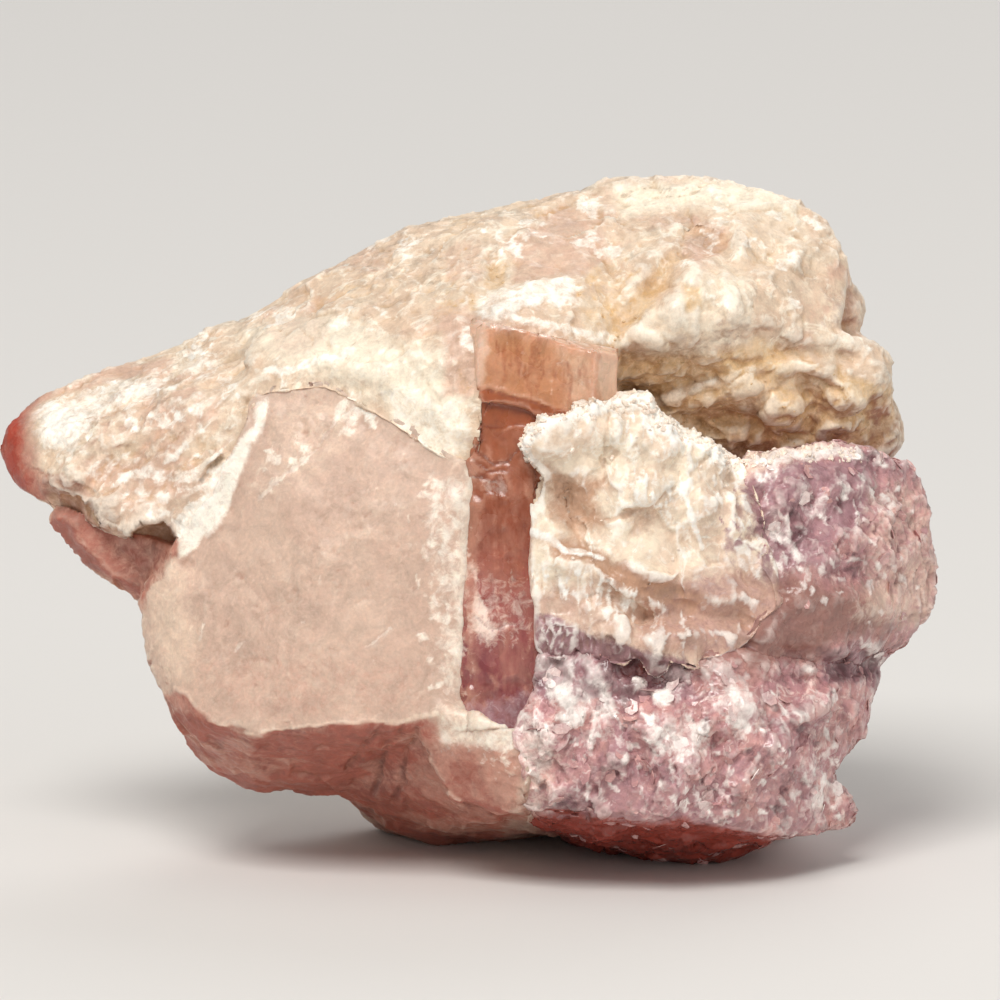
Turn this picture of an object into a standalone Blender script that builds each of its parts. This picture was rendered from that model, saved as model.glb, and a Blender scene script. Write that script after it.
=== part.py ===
"""A pink tourmaline crystal in its pegmatite matrix, as five mineral bodies that grew together.

Every corner below is given in millimetres on the display face, as (across, up, out): across runs to
the right, up runs to the top, and out comes towards someone who looks at the face. The face leans
back by LEAN when the specimen stands, and stand() turns those millimetres into metres with +Z up.
"""

import math

import bmesh
import bpy
from mathutils import Matrix, Vector

MM = 0.001
LEAN = math.radians(10.0)
BASE_HEIGHT = 0.3  # mm, the level at which the underside is broken off flat
GAP = 0.35  # mm between minerals that touch
VOXEL = 0.75  # mm, the grain at which blocks are fused into one body

# The middle of the specimen's bounding box, in mm along X and Y before it is moved to the origin.
CENTRE = (0.07, 4.92)


# Blocks are lists of corners. Lumps are (centre, radii). Relief is what is worked into the front
# of a body, as (start, end, half width, depth), where start and end are (across, up) on the
# display face and a negative depth is a ridge.

# --- the tourmaline crystal ---------------------------------------------------------------------

CRYSTAL_TOP = (7.7, 51.8, 12.6)
CRYSTAL_FOOT = (5.9, 13.6, 12.0)
CRYSTAL_END_FALL = 0.22  # mm that the end face falls per mm to the right
CRYSTAL_END_RISE = 0.08  # mm that the end face rises per mm inwards
# The prism's outline across its axis, as (across, out) from the axis: a broad front face between
# two bevels, and a rounded triangle behind.
CRYSTAL_SECTION = (
    (-7.2, -1.2),
    (-7.0, 4.2),
    (-5.6, 6.6),
    (4.9, 7.0),
    (7.1, 4.6),
    (7.2, -1.0),
    (3.4, -6.4),
    (-3.2, -6.6),
)
CRYSTAL_STEP_DROP = 5.6  # mm below the top, where the front face breaks back
CRYSTAL_STEP_SLOPE = 2.6  # mm that the break falls from the left edge to the right one
CRYSTAL_STEP_DEPTH = 1.3  # mm

# --- the quartz body ----------------------------------------------------------------------------

QUARTZ_FACE_BLOCK = (
    # the broad front face, from its top left corner down round the left edge
    (-29.0, 30.0, 9.0), (-32.6, 26.0, 5.0), (-32.2, 22.8, 5.0), (-30.8, 19.2, 6.0),
    (-29.4, 15.8, 7.5), (-26.5, 14.2, 12.0), (-21.0, 13.2, 15.0), (-12.0, 13.8, 17.0),
    (-4.0, 14.4, 17.6), (-1.0, 17.0, 17.8), (-0.6, 26.0, 18.0), (-0.2, 36.0, 18.0),
    (0.4, 40.5, 17.6), (-7.0, 44.5, 16.0), (-14.0, 48.8, 12.8), (-20.8, 47.2, 10.8),
    (-22.2, 42.0, 11.4), (-25.5, 35.0, 10.6), (-14.0, 30.0, 18.0),
    # the lower edge of the underside
    (-28.4, 11.8, 1.0), (-25.5, 9.0, 0.0), (-22.0, 7.1, -1.0), (-13.0, 6.9, 0.0),
    # the back
    (-27.0, 24.0, -8.0), (-24.0, 12.0, -10.0), (-14.0, 8.6, -13.0), (-20.0, 42.0, -9.0),
    (-2.0, 42.0, -12.0), (0.0, 14.0, -14.0),
)
QUARTZ_WING_BLOCK = (
    (-42.2, 34.5, 1.5), (-41.0, 36.0, 3.0), (-39.5, 31.0, 1.0), (-37.0, 28.7, 1.5),
    (-32.6, 25.8, 2.0), (-37.0, 35.8, 5.0), (-32.0, 33.0, 6.5), (-28.8, 30.4, 7.0),
    (-30.0, 27.5, 5.0), (-36.0, 34.0, -8.0), (-30.0, 28.0, -9.0), (-24.0, 38.0, -9.0),
    (-24.0, 40.0, 4.0),
)
QUARTZ_CORE_BLOCK = (
    # the lower edge, which draws back to where the specimen stands
    (-13.0, 7.0, 0.0), (-7.0, 3.5, -4.0), (-3.6, 1.5, -8.0), (1.0, 2.4, -9.5),
    (6.0, 3.4, -9.0), (13.0, 3.2, -8.0), (-3.5, 13.0, 14.0), (-2.5, 7.0, 9.0),
    (2.0, 5.4, 10.0), (12.0, 5.0, 8.0), (10.0, 20.0, 8.0), (12.0, 38.0, 6.0),
    (20.0, 20.0, 4.0), (20.0, 6.0, 0.0),
    # the back
    (-14.0, 12.0, -14.5), (-9.0, 2.6, -15.0), (-3.0, 1.8, -20.0), (8.0, 1.6, -23.5),
    (17.0, 2.6, -20.0), (19.0, 24.0, -18.5), (8.0, 35.0, -21.0), (-5.0, 36.0, -18.0),
    (-16.0, 29.0, -14.0), (-14.0, 40.0, -11.0),
)
QUARTZ_FOOT_BLOCK = (
    (-4.2, 14.4, 17.5), (-2.5, 15.9, 19.0), (1.0, 15.4, 20.4), (3.6, 14.3, 20.9),
    (5.4, 12.0, 20.6), (6.0, 8.5, 19.6), (5.6, 5.6, 18.0), (3.0, 4.8, 15.0),
    (-1.5, 6.5, 15.0), (-3.8, 10.0, 15.5), (-2.0, 12.0, 2.0), (8.0, 10.0, 2.0),
    (8.0, 6.0, 2.0), (0.0, 6.4, 2.0),
)

# --- the feldspar cap ---------------------------------------------------------------------------

CAP_WING_BLOCK = (
    # the top edge, from the tip
    (-46.2, 43.3, 0.0), (-44.8, 45.3, -2.0), (-43.0, 46.6, -3.0), (-37.0, 47.8, -4.0),
    (-29.4, 50.4, -4.0), (-20.8, 55.1, -4.0),
    # the tip and the lower edge
    (-46.8, 40.5, -1.0), (-45.8, 38.0, -1.0), (-44.2, 36.8, 1.0), (-42.5, 36.2, 2.0),
    # the front
    (-41.0, 39.0, 5.5), (-41.5, 43.0, 4.0), (-36.0, 36.0, 8.0), (-34.5, 33.2, 8.6),
    (-32.0, 33.2, 9.2), (-29.0, 30.4, 9.6), (-25.5, 35.5, 11.4), (-22.0, 43.0, 12.4),
    (-20.8, 47.5, 12.0), (-27.0, 46.0, 9.5), (-35.0, 44.0, 7.0),
    # the back
    (-44.0, 42.0, -6.0), (-36.0, 44.0, -11.0), (-28.0, 46.0, -14.0), (-20.0, 50.0, -15.0),
    (-26.0, 37.0, -11.0), (-35.0, 37.0, -8.0),
)
CAP_SLAB_LEFT_BLOCK = (
    (-21.4, 55.0, -4.0), (-14.0, 58.9, -4.0), (-12.0, 60.7, -4.0), (-8.0, 62.7, -4.0),
    (-20.8, 47.2, 12.0), (-14.0, 48.6, 14.2), (-10.0, 49.4, 14.4), (-22.0, 51.0, 8.6),
    (-14.0, 54.0, 9.5), (-9.0, 56.0, 9.6), (-20.0, 50.0, -16.0), (-8.0, 54.0, -17.0),
    (-12.0, 38.0, -16.0), (-20.0, 42.0, -14.0),
)
CAP_SLAB_BLOCK = (
    # the top edge
    (-14.0, 59.2, -4.0), (-12.0, 60.7, -4.0), (-7.0, 63.2, -4.0), (2.0, 65.4, -4.0),
    (12.0, 67.2, -4.0), (17.0, 68.3, -5.0),
    # the lower edge, where the cap laps over the quartz and meets the crystal
    (-14.0, 48.6, 14.2), (-9.8, 46.4, 16.0), (-5.5, 43.2, 17.8), (-0.4, 40.2, 19.0),
    (0.4, 46.0, 19.2), (0.4, 51.5, 18.2), (1.7, 53.6, 17.0), (9.0, 52.4, 16.2),
    (15.0, 51.0, 14.4),
    # the ridge between the upper and the lower facet
    (-14.0, 54.0, 9.5), (1.0, 56.4, 11.4), (10.8, 58.6, 10.8), (13.0, 63.0, 4.5),
    (1.0, 63.0, 3.5),
    # the back
    (-14.0, 52.0, -16.0), (0.0, 57.0, -18.0), (15.0, 61.0, -17.0), (14.0, 36.0, -20.0),
    (0.0, 34.0, -19.0), (-12.0, 38.0, -16.0),
)
CAP_HEAD_BLOCK = (
    # the top edge
    (17.0, 68.7, -5.0), (22.4, 68.9, -4.0), (27.0, 68.4, -3.0), (33.4, 66.2, -2.0),
    (36.2, 64.4, -1.0), (37.4, 62.0, 0.0), (38.4, 60.0, 0.0), (37.9, 58.0, 1.0),
    # the front
    (13.0, 61.0, 5.0), (17.0, 60.0, 8.0), (22.0, 62.0, 7.4), (23.0, 56.0, 12.0),
    (17.0, 56.0, 11.5), (15.0, 53.0, 13.0), (18.0, 51.0, 12.0), (23.0, 53.0, 12.5),
    (29.0, 54.0, 11.0), (35.0, 53.0, 7.0), (37.6, 54.5, 4.0),
    # the back
    (18.0, 64.0, -16.0), (33.0, 60.0, -14.0), (34.0, 48.0, -14.0), (18.0, 46.0, -18.0),
)
CAP_POCKET_BLOCK = (
    # the brow of the pocket
    (15.0, 52.5, 12.0), (23.0, 51.5, 11.0), (31.0, 51.5, 9.0), (38.0, 52.4, 6.0),
    (41.2, 52.0, 3.0), (42.8, 50.4, 2.0), (42.8, 48.4, 2.0), (42.4, 47.4, 2.0),
    # its floor
    (15.2, 45.0, 1.0), (19.0, 42.5, 0.0), (27.0, 38.5, -2.0), (33.0, 39.5, -1.0),
    (39.0, 41.5, 1.0), (42.6, 44.0, 0.0), (42.4, 40.5, -1.0),
    # the back
    (16.0, 38.0, -20.0), (30.0, 36.0, -18.0), (40.0, 42.0, -12.0), (39.0, 52.0, -12.0),
)
CAP_BACK_BLOCK = (
    (-16.0, 44.0, -8.0), (-10.0, 37.0, -16.0), (2.0, 33.0, -19.5), (18.0, 34.0, -21.5),
    (33.0, 37.0, -17.5), (37.0, 46.0, -15.0), (31.0, 60.5, -14.0), (19.0, 63.5, -15.5),
    (4.0, 60.0, -17.0), (-10.0, 54.0, -16.5), (24.0, 48.0, -20.5), (8.0, 46.0, -22.0),
    (10.0, 62.0, -4.0), (30.0, 62.0, -4.0), (30.0, 42.0, -4.0), (4.0, 40.0, -4.0),
)
CAP_WING_BACK_BLOCK = (
    (-30.0, 46.0, -13.0), (-22.0, 38.0, -13.5), (-12.0, 38.0, -16.5), (-12.0, 54.0, -17.0),
    (-22.0, 51.5, -14.0), (-26.0, 46.5, 0.0), (-14.0, 54.0, 0.0), (-16.0, 42.0, 0.0),
)
CAP_LUMPS = (
    # behind the right edge
    ((37.8, 55.4, -4.0), (2.2, 3.0, 3.4)),
    ((41.3, 43.4, -3.5), (2.4, 3.5, 4.0)),
    # the pocket
    ((20.6, 49.2, 7.4), (2.0, 1.8, 2.2)),
    ((17.0, 49.8, 6.6), (2.4, 2.2, 2.4)),
    ((23.4, 46.4, 4.8), (4.4, 1.3, 2.6)),
    ((27.6, 47.9, 6.2), (3.0, 1.3, 2.2)),
    ((19.6, 44.6, 3.2), (3.0, 1.2, 2.0)),
    ((31.0, 45.4, 4.4), (2.4, 1.6, 2.6)),
    ((34.6, 49.6, 6.2), (2.4, 1.5, 2.0)),
    ((37.4, 47.0, 4.2), (2.4, 2.2, 2.8)),
    ((40.0, 48.4, 3.0), (2.4, 2.4, 2.6)),
    ((36.4, 43.8, 2.4), (2.6, 1.3, 2.2)),
    ((27.0, 42.9, 1.6), (3.4, 1.2, 2.4)),
    ((32.6, 41.9, 1.4), (2.4, 1.2, 2.0)),
    # the top edge
    ((16.4, 67.4, -4.4), (3.0, 1.4, 3.0)),
)
CAP_RELIEF = (
    # the dished hollow in the head
    ((22.2, 63.6), (24.6, 61.0), 2.0, 1.5),
    # the stained furrow from the head down to the crystal
    ((21.0, 60.4), (18.6, 57.2), 1.3, 1.2),
    ((18.6, 57.2), (14.2, 52.6), 1.3, 1.1),
    # clefts in the pocket
    ((15.4, 47.6), (17.6, 46.6), 1.0, 1.6),
    ((19.6, 47.6), (25.0, 48.6), 0.9, 1.3),
    ((21.6, 44.8), (28.6, 44.6), 0.9, 1.2),
    ((29.4, 48.2), (29.0, 44.4), 0.8, 1.1),
    ((33.6, 47.6), (34.4, 43.0), 0.8, 1.2),
    ((31.0, 50.8), (38.6, 50.4), 0.9, 1.1),
    # the crest over the pocket
    ((20.6, 55.0), (23.4, 58.6), 1.6, -1.6),
    ((25.6, 55.6), (29.4, 57.8), 1.6, -1.2),
    ((31.4, 58.4), (33.4, 61.4), 1.6, -1.2),
    ((27.0, 61.0), (28.2, 65.0), 1.3, -1.0),
    # the notch in the slab's edge, and the bright edge beside it
    ((1.4, 59.4), (2.6, 57.4), 0.8, 0.9),
    ((3.4, 56.4), (10.6, 58.6), 0.9, -0.8),
    # streaks across the wing
    ((-42.6, 39.6), (-35.6, 45.0), 1.1, 0.8),
    ((-37.0, 37.6), (-29.0, 44.0), 1.2, 0.8),
    ((-31.4, 36.4), (-24.6, 43.0), 1.1, 0.7),
    # the lobes at the lower edge of the wing
    ((-41.0, 37.4), (-39.4, 38.4), 1.4, -1.0),
    ((-36.6, 35.0), (-35.4, 36.6), 1.4, -1.0),
    ((-32.6, 33.4), (-31.4, 35.6), 1.3, -0.9),
    # the trough between the wing and the slab
    ((-24.4, 46.0), (-21.0, 52.0), 1.5, 0.8),
)

# --- the albite ledge ---------------------------------------------------------------------------

LEDGE_BLOCK = (
    # the rim
    (5.6, 41.5, 21.6), (6.2, 43.2, 21.8), (9.0, 45.0, 21.8), (13.0, 45.8, 20.6),
    (17.0, 45.8, 18.6), (19.8, 43.8, 16.6), (23.0, 41.8, 15.2), (26.8, 39.8, 13.8),
    (12.0, 44.0, 9.0), (16.0, 45.3, 6.0), (20.0, 43.3, 4.0), (26.0, 39.3, 3.0),
    # the front
    (5.8, 40.2, 21.4), (7.8, 38.2, 20.8), (9.0, 34.0, 20.2), (7.6, 31.5, 20.2),
    (7.4, 26.0, 19.8), (6.8, 21.6, 19.6), (13.0, 21.8, 20.2), (17.0, 20.4, 20.2),
    (22.0, 20.8, 19.6), (27.0, 22.0, 18.2), (31.0, 26.0, 16.2), (29.0, 32.0, 15.6),
    (28.0, 37.0, 14.6),
    # the back
    (10.0, 24.0, 4.0), (26.0, 24.0, 2.0), (28.0, 36.0, 0.0),
)
LEDGE_LUMPS = (
    # the nose over the crystal, and the rim to the right of it
    ((8.4, 42.8, 21.4), (3.4, 2.7, 2.6)),
    ((12.6, 43.4, 20.6), (2.8, 2.6, 2.4)),
    ((17.2, 45.6, 17.8), (1.5, 1.7, 2.0)),
    ((17.4, 41.6, 19.2), (3.6, 2.4, 2.0)),
    ((22.4, 40.0, 16.8), (3.2, 2.4, 2.2)),
    # the body below the rim
    ((15.6, 37.2, 19.6), (4.4, 3.0, 2.0)),
    ((21.6, 35.2, 17.8), (3.6, 3.4, 2.0)),
    ((26.0, 34.0, 16.2), (3.0, 3.6, 2.0)),
    ((11.0, 30.4, 20.4), (4.0, 1.4, 1.6)),
    ((16.0, 28.6, 20.0), (4.2, 1.4, 1.6)),
    # the columns of the fringe
    ((10.0, 23.0, 20.2), (2.8, 1.8, 1.5)),
    ((15.2, 22.2, 20.4), (1.6, 2.4, 1.4)),
    ((18.6, 21.4, 20.4), (1.4, 2.8, 1.4)),
    ((21.6, 21.8, 19.8), (1.3, 2.6, 1.4)),
)
LEDGE_RELIEF = (
    # the shadowed furrow above the fringe
    ((13.4, 27.2), (17.6, 24.8), 1.2, 1.5),
    ((17.6, 24.8), (27.0, 24.4), 1.3, 1.5),
    # the hollow beside the crystal
    ((9.4, 36.6), (11.6, 33.0), 1.8, 1.8),
    # the seam down from the rim
    ((13.8, 44.4), (13.6, 35.0), 0.7, 0.8),
)

# --- the lepidolite mass ------------------------------------------------------------------------

LEPIDOLITE_UPPER_BLOCK = (
    # the rim
    (26.8, 40.0, 14.0), (29.5, 40.8, 13.0), (33.0, 41.0, 11.0), (36.2, 41.6, 9.0),
    (39.6, 40.9, 6.0), (42.8, 40.8, 3.0),
    # the right edge
    (44.6, 39.8, 1.0), (46.2, 37.4, 0.0), (46.6, 34.5, 0.0), (46.4, 30.0, -1.0),
    (47.0, 26.0, -2.0), (46.2, 24.4, -2.0), (43.9, 22.7, -1.0), (42.2, 20.3, -1.0),
    # the front
    (29.0, 34.0, 15.8), (33.0, 38.0, 13.6), (38.0, 36.0, 10.5), (42.0, 34.0, 6.5),
    (33.0, 26.0, 15.8), (40.0, 26.0, 9.0), (28.0, 22.0, 17.8), (37.0, 21.0, 11.0),
    # the back
    (28.0, 37.0, -15.0), (40.0, 36.0, -12.0), (42.0, 24.0, -12.0), (30.0, 20.0, -18.0),
    (18.0, 30.0, -8.0), (18.0, 20.0, -8.0),
)
LEPIDOLITE_LOWER_BLOCK = (
    # the right edge
    (42.0, 20.3, -1.0), (39.6, 17.0, 1.0), (39.6, 13.0, 1.0), (36.2, 10.4, 3.0),
    # the front, from the top down
    (7.5, 21.2, 19.4), (13.0, 22.0, 18.4), (22.0, 21.0, 18.4), (29.0, 21.0, 17.4),
    (36.0, 18.0, 11.0), (4.6, 14.0, 20.6), (13.0, 14.0, 21.4), (21.0, 13.0, 21.4),
    (29.0, 12.0, 18.6), (35.0, 11.0, 12.0), (5.4, 6.0, 18.4), (9.0, 5.9, 19.2),
    (15.0, 5.2, 19.6), (20.0, 6.0, 19.8), (25.5, 4.9, 18.2), (29.0, 3.4, 14.0),
    (32.4, 2.8, 11.0),
    # the back
    (32.0, 8.0, -14.0), (38.0, 16.0, -12.0), (18.0, 18.0, -10.0), (14.0, 8.0, 0.0),
    (6.0, 8.0, 8.0),
)
LEPIDOLITE_SPUR_BLOCK = (
    (35.0, 8.0, 7.0), (37.6, 7.5, 6.0), (39.4, 5.6, 5.0), (38.9, 3.8, 5.0),
    (36.5, 3.2, 5.5), (33.0, 7.0, 10.5), (33.0, 2.8, 10.0), (32.0, 8.0, 2.0),
    (32.0, 4.0, 2.0), (38.0, 5.0, 2.5),
)
LEPIDOLITE_BASE_BLOCK = (
    (6.0, 4.4, 8.0), (10.0, 3.0, 2.0), (15.0, 1.6, 3.6), (21.0, 0.2, 3.6),
    (23.0, -0.2, 3.0), (26.0, 0.8, 4.0), (30.0, 2.2, 7.0), (7.0, 5.6, 15.6),
    (21.0, 5.0, 16.6), (29.0, 3.6, 12.6), (12.0, 0.0, -19.0), (25.0, 0.0, -20.0),
    (33.0, 4.0, -14.0), (12.0, 12.0, -20.0), (34.0, 14.0, -14.0), (22.0, 14.0, -20.0),
)
LEPIDOLITE_BACK_BLOCK = (
    (18.0, 4.0, -19.5), (33.0, 5.0, -15.0), (37.5, 16.0, -13.0), (39.5, 30.0, -13.0),
    (31.0, 38.0, -16.0), (16.0, 36.0, -18.0), (24.0, 22.0, -20.0), (20.0, 6.0, -4.0),
    (36.0, 12.0, -4.0), (40.0, 28.0, -4.0), (20.0, 36.0, -4.0),
)
LEPIDOLITE_RELIEF = (
    # the dark pocket under the ledge
    ((15.6, 20.0), (18.2, 19.0), 1.6, 2.4),
    ((18.2, 19.0), (21.6, 18.4), 1.4, 1.7),
    # the furrow under the upper mass, and the notch in the right edge
    ((28.0, 20.8), (42.0, 20.0), 1.2, 1.4),
    ((34.6, 10.4), (38.6, 9.6), 1.1, 1.5),
    # books of mica that stand out of the mass
    ((11.4, 17.4), (13.0, 21.0), 1.4, -1.1),
    ((7.4, 12.2), (10.0, 14.8), 1.5, -1.0),
    ((10.4, 8.2), (15.0, 10.4), 1.4, -1.0),
    ((19.4, 7.8), (22.4, 10.6), 1.5, -1.1),
    ((26.0, 6.6), (29.0, 9.8), 1.4, -1.0),
    ((24.0, 14.6), (28.0, 16.0), 1.5, -1.1),
    ((18.6, 13.6), (20.6, 15.8), 1.3, -0.9),
    ((32.8, 15.4), (35.6, 16.2), 1.4, -1.3),
    ((30.6, 11.0), (32.6, 13.4), 1.4, -1.0),
    ((34.6, 30.6), (37.4, 32.6), 1.6, -1.0),
    ((30.4, 35.0), (32.4, 38.6), 1.5, -0.9),
    ((39.8, 33.0), (42.4, 31.4), 1.6, -1.0),
    ((37.0, 26.6), (41.0, 25.4), 1.4, -0.9),
    ((36.0, 38.6), (39.6, 37.8), 1.4, -1.0),
    # between the books
    ((15.6, 13.4), (17.6, 9.0), 0.9, 0.9),
    ((23.6, 12.6), (24.6, 7.4), 0.9, 0.9),
    ((34.0, 36.4), (32.4, 31.0), 0.9, 0.9),
    ((36.6, 35.8), (40.6, 36.6), 0.8, 0.8),
    ((37.6, 29.0), (42.6, 28.4), 0.9, 0.8),
)

# Materials, as (colour, roughness).
PINK = ((0.62, 0.25, 0.19, 1.0), 0.28)
ROSY_QUARTZ = ((0.76, 0.60, 0.51, 1.0), 0.42)
CREAM = ((0.88, 0.79, 0.65, 1.0), 0.6)
WHITE = ((0.92, 0.86, 0.77, 1.0), 0.55)
LILAC = ((0.62, 0.43, 0.46, 1.0), 0.38)


def stand(point):
    """(across, up, out) on the display face, in mm, as a place in metres as the specimen stands."""
    across, up, out = point
    return Vector(
        (
            across,
            up * math.sin(LEAN) - out * math.cos(LEAN),
            up * math.cos(LEAN) + out * math.sin(LEAN) - BASE_HEIGHT,
        )
    ) * MM


def turned_to_stand():
    """The rotation that takes across, up and out to the standing axes."""
    origin = stand((0, 0, 0))
    axes = [(stand(axis) - origin) / MM for axis in ((1, 0, 0), (0, 1, 0), (0, 0, 1))]
    return Matrix(axes).transposed()


def clear_scene():
    for obj in list(bpy.data.objects):
        bpy.data.objects.remove(obj)


def add_block(shape, corners):
    """One cleaved block: the convex hull of its corners."""
    block = bmesh.new()
    for corner in corners:
        block.verts.new(stand(corner))
    hull = bmesh.ops.convex_hull(block, input=block.verts)
    inner = [v for v in hull["geom_interior"] if isinstance(v, bmesh.types.BMVert)]
    bmesh.ops.delete(block, geom=inner, context="VERTS")
    bmesh.ops.recalc_face_normals(block, faces=block.faces)
    mesh = bpy.data.meshes.new("block")
    block.to_mesh(mesh)
    block.free()
    shape.from_mesh(mesh)
    bpy.data.meshes.remove(mesh)


def add_lump(shape, centre, radii):
    """One rounded lump."""
    size = Matrix.Diagonal([radius * MM for radius in radii])
    place = Matrix.Translation(stand(centre)) @ (turned_to_stand() @ size).to_4x4()
    bmesh.ops.create_icosphere(shape, subdivisions=3, radius=1.0, matrix=place)


def evaluated_copy(obj):
    """The object's mesh with its modifiers worked in, in a new mesh."""
    graph = bpy.context.evaluated_depsgraph_get()
    return bpy.data.meshes.new_from_object(obj.evaluated_get(graph))


def apply_modifiers(obj):
    old = obj.data
    obj.data = evaluated_copy(obj)
    obj.modifiers.clear()
    bpy.data.meshes.remove(old)


def fuse(obj, size):
    """Joins overlapping closed shapes into one skin."""
    remesh = obj.modifiers.new("fuse", "REMESH")
    remesh.mode = "VOXEL"
    remesh.voxel_size = size * MM
    apply_modifiers(obj)


def distance_to_line(point, start, end):
    along = end - start
    share = max(0.0, min(1.0, (point - start).dot(along) / along.length_squared))
    return (point - start - along * share).length


def work_front(obj, start, end, half_width, depth):
    """Presses a round-bottomed hollow into the front along a line, or raises a ridge there."""
    start, end = Vector(start), Vector(end)
    origin, turn = stand((0, 0, 0)), turned_to_stand()
    outward = turn.col[2]
    reach = half_width * 1.6
    for vertex in obj.data.vertices:
        facing = vertex.normal.dot(outward)
        on_face = turn.transposed() @ (vertex.co - origin) / MM
        distance = distance_to_line(on_face.xy, start, end)
        if distance < reach and facing > 0.0:
            share = 0.5 + 0.5 * math.cos(math.pi * distance / reach)
            vertex.co -= outward * (depth * MM * share * min(1.0, 2.0 * facing))


def roughen(obj, name, kind, grain, height):
    """Breaks the surface up with a noise of one grain and height, in mm."""
    texture = bpy.data.textures.new(name, kind)
    texture.noise_scale = grain * MM
    displace = obj.modifiers.new(name, "DISPLACE")
    displace.texture = texture
    displace.texture_coords = "LOCAL"
    displace.strength = height * MM
    displace.mid_level = 0.5


def facet(obj, triangles):
    """Brings the surface down to this many flat faces, which keeps its edges."""
    decimate = obj.modifiers.new("facets", "DECIMATE")
    faces = sum(len(face.vertices) - 2 for face in obj.data.polygons)
    decimate.ratio = min(1.0, triangles / faces)
    apply_modifiers(obj)


def new_object(name, mesh, collection):
    obj = bpy.data.objects.new(name, mesh)
    collection.objects.link(obj)
    return obj


def block_object(name, corners, collection):
    shape = bmesh.new()
    add_block(shape, corners)
    mesh = bpy.data.meshes.new(name)
    shape.to_mesh(mesh)
    shape.free()
    return new_object(name, mesh, collection)


def mineral_body(name, blocks, lumps, relief, roughness, triangles, collection):
    """A mineral grown in one piece: blocks and lumps fused, worked, roughened and faceted."""
    shape = bmesh.new()
    for corners in blocks:
        add_block(shape, corners)
    for centre, radii in lumps:
        add_lump(shape, centre, radii)
    mesh = bpy.data.meshes.new(name)
    shape.to_mesh(mesh)
    shape.free()
    body = new_object(name, mesh, collection)
    fuse(body, VOXEL)
    for line in relief:
        work_front(body, *line)
    for index, (kind, grain, height) in enumerate(roughness):
        roughen(body, f"{name}_grain_{index}", kind, grain, height)
    apply_modifiers(body)
    facet(body, triangles)
    return body


def crystal_body(name, collection):
    """The tourmaline prism, with its sloping end and the step where its front is broken back."""
    top, foot = Vector(CRYSTAL_TOP), Vector(CRYSTAL_FOOT)
    front = max(out for _, out in CRYSTAL_SECTION)
    corners = []
    for across, out in CRYSTAL_SECTION:
        slope = -CRYSTAL_END_FALL * across + CRYSTAL_END_RISE * (front - out)
        corners.append((top.x + across, top.y + slope, top.z + out))
        corners.append((foot.x + across, foot.y, foot.z + out))
    crystal = block_object(name, corners, collection)

    left, right = top.x - 9.0, top.x + 9.0
    high = top.y - CRYSTAL_STEP_DROP + CRYSTAL_STEP_SLOPE * 0.2
    low = high - CRYSTAL_STEP_SLOPE * 1.4
    face = top.z + front - CRYSTAL_STEP_DEPTH
    break_corners = [
        (across, up, out)
        for across, upper in ((left, high), (right, low))
        for up in (upper, -20.0)
        for out in (face, face + 20.0)
    ]
    cutter = block_object("step_break", break_corners, collection)
    cut_away(crystal, cutter)
    bpy.data.objects.remove(cutter)
    return crystal


def cut_away(obj, cutter):
    boolean = obj.modifiers.new("cut", "BOOLEAN")
    boolean.operation = "DIFFERENCE"
    boolean.object = cutter
    apply_modifiers(obj)


def make_room(obj, neighbour, collection):
    """Cuts the neighbour's shape out of a body, with the gap that keeps them apart."""
    swollen = new_object("swollen", neighbour.data.copy(), collection)
    swell = swollen.modifiers.new("swell", "DISPLACE")
    swell.strength = GAP * MM
    swell.mid_level = 0.0
    apply_modifiers(swollen)
    cut_away(obj, swollen)
    bpy.data.objects.remove(swollen)


def keep_largest_piece(obj):
    """Drops the crumbs that a cut leaves."""
    shape = bmesh.new()
    shape.from_mesh(obj.data)
    unseen = set(shape.verts)
    pieces = []
    while unseen:
        piece, edge_of_piece = set(), [unseen.pop()]
        while edge_of_piece:
            vertex = edge_of_piece.pop()
            piece.add(vertex)
            for edge in vertex.link_edges:
                other = edge.other_vert(vertex)
                if other in unseen:
                    unseen.discard(other)
                    edge_of_piece.append(other)
        pieces.append(piece)
    pieces.sort(key=len)
    for crumb in pieces[:-1]:
        bmesh.ops.delete(shape, geom=list(crumb), context="VERTS")
    shape.to_mesh(obj.data)
    shape.free()


def cut_base(obj):
    """Breaks the underside off flat at the level that the specimen stands on."""
    shape = bmesh.new()
    shape.from_mesh(obj.data)
    cut = bmesh.ops.bisect_plane(
        shape,
        geom=list(shape.verts) + list(shape.edges) + list(shape.faces),
        plane_co=(0, 0, 0),
        plane_no=(0, 0, -1),
        clear_outer=True,
    )
    rim = [edge for edge in cut["geom_cut"] if isinstance(edge, bmesh.types.BMEdge)]
    if rim:
        bmesh.ops.holes_fill(shape, edges=rim)
    bmesh.ops.triangulate(shape, faces=shape.faces)
    shape.to_mesh(obj.data)
    shape.free()


def move_to_centre(obj):
    obj.data.transform(Matrix.Translation((-CENTRE[0] * MM, -CENTRE[1] * MM, 0.0)))


def paint(obj, finish):
    colour, roughness = finish
    material = bpy.data.materials.new(obj.name)
    material.use_nodes = True
    shader = material.node_tree.nodes["Principled BSDF"]
    shader.inputs["Base Color"].default_value = colour
    shader.inputs["Roughness"].default_value = roughness
    obj.data.materials.clear()
    obj.data.materials.append(material)


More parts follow.
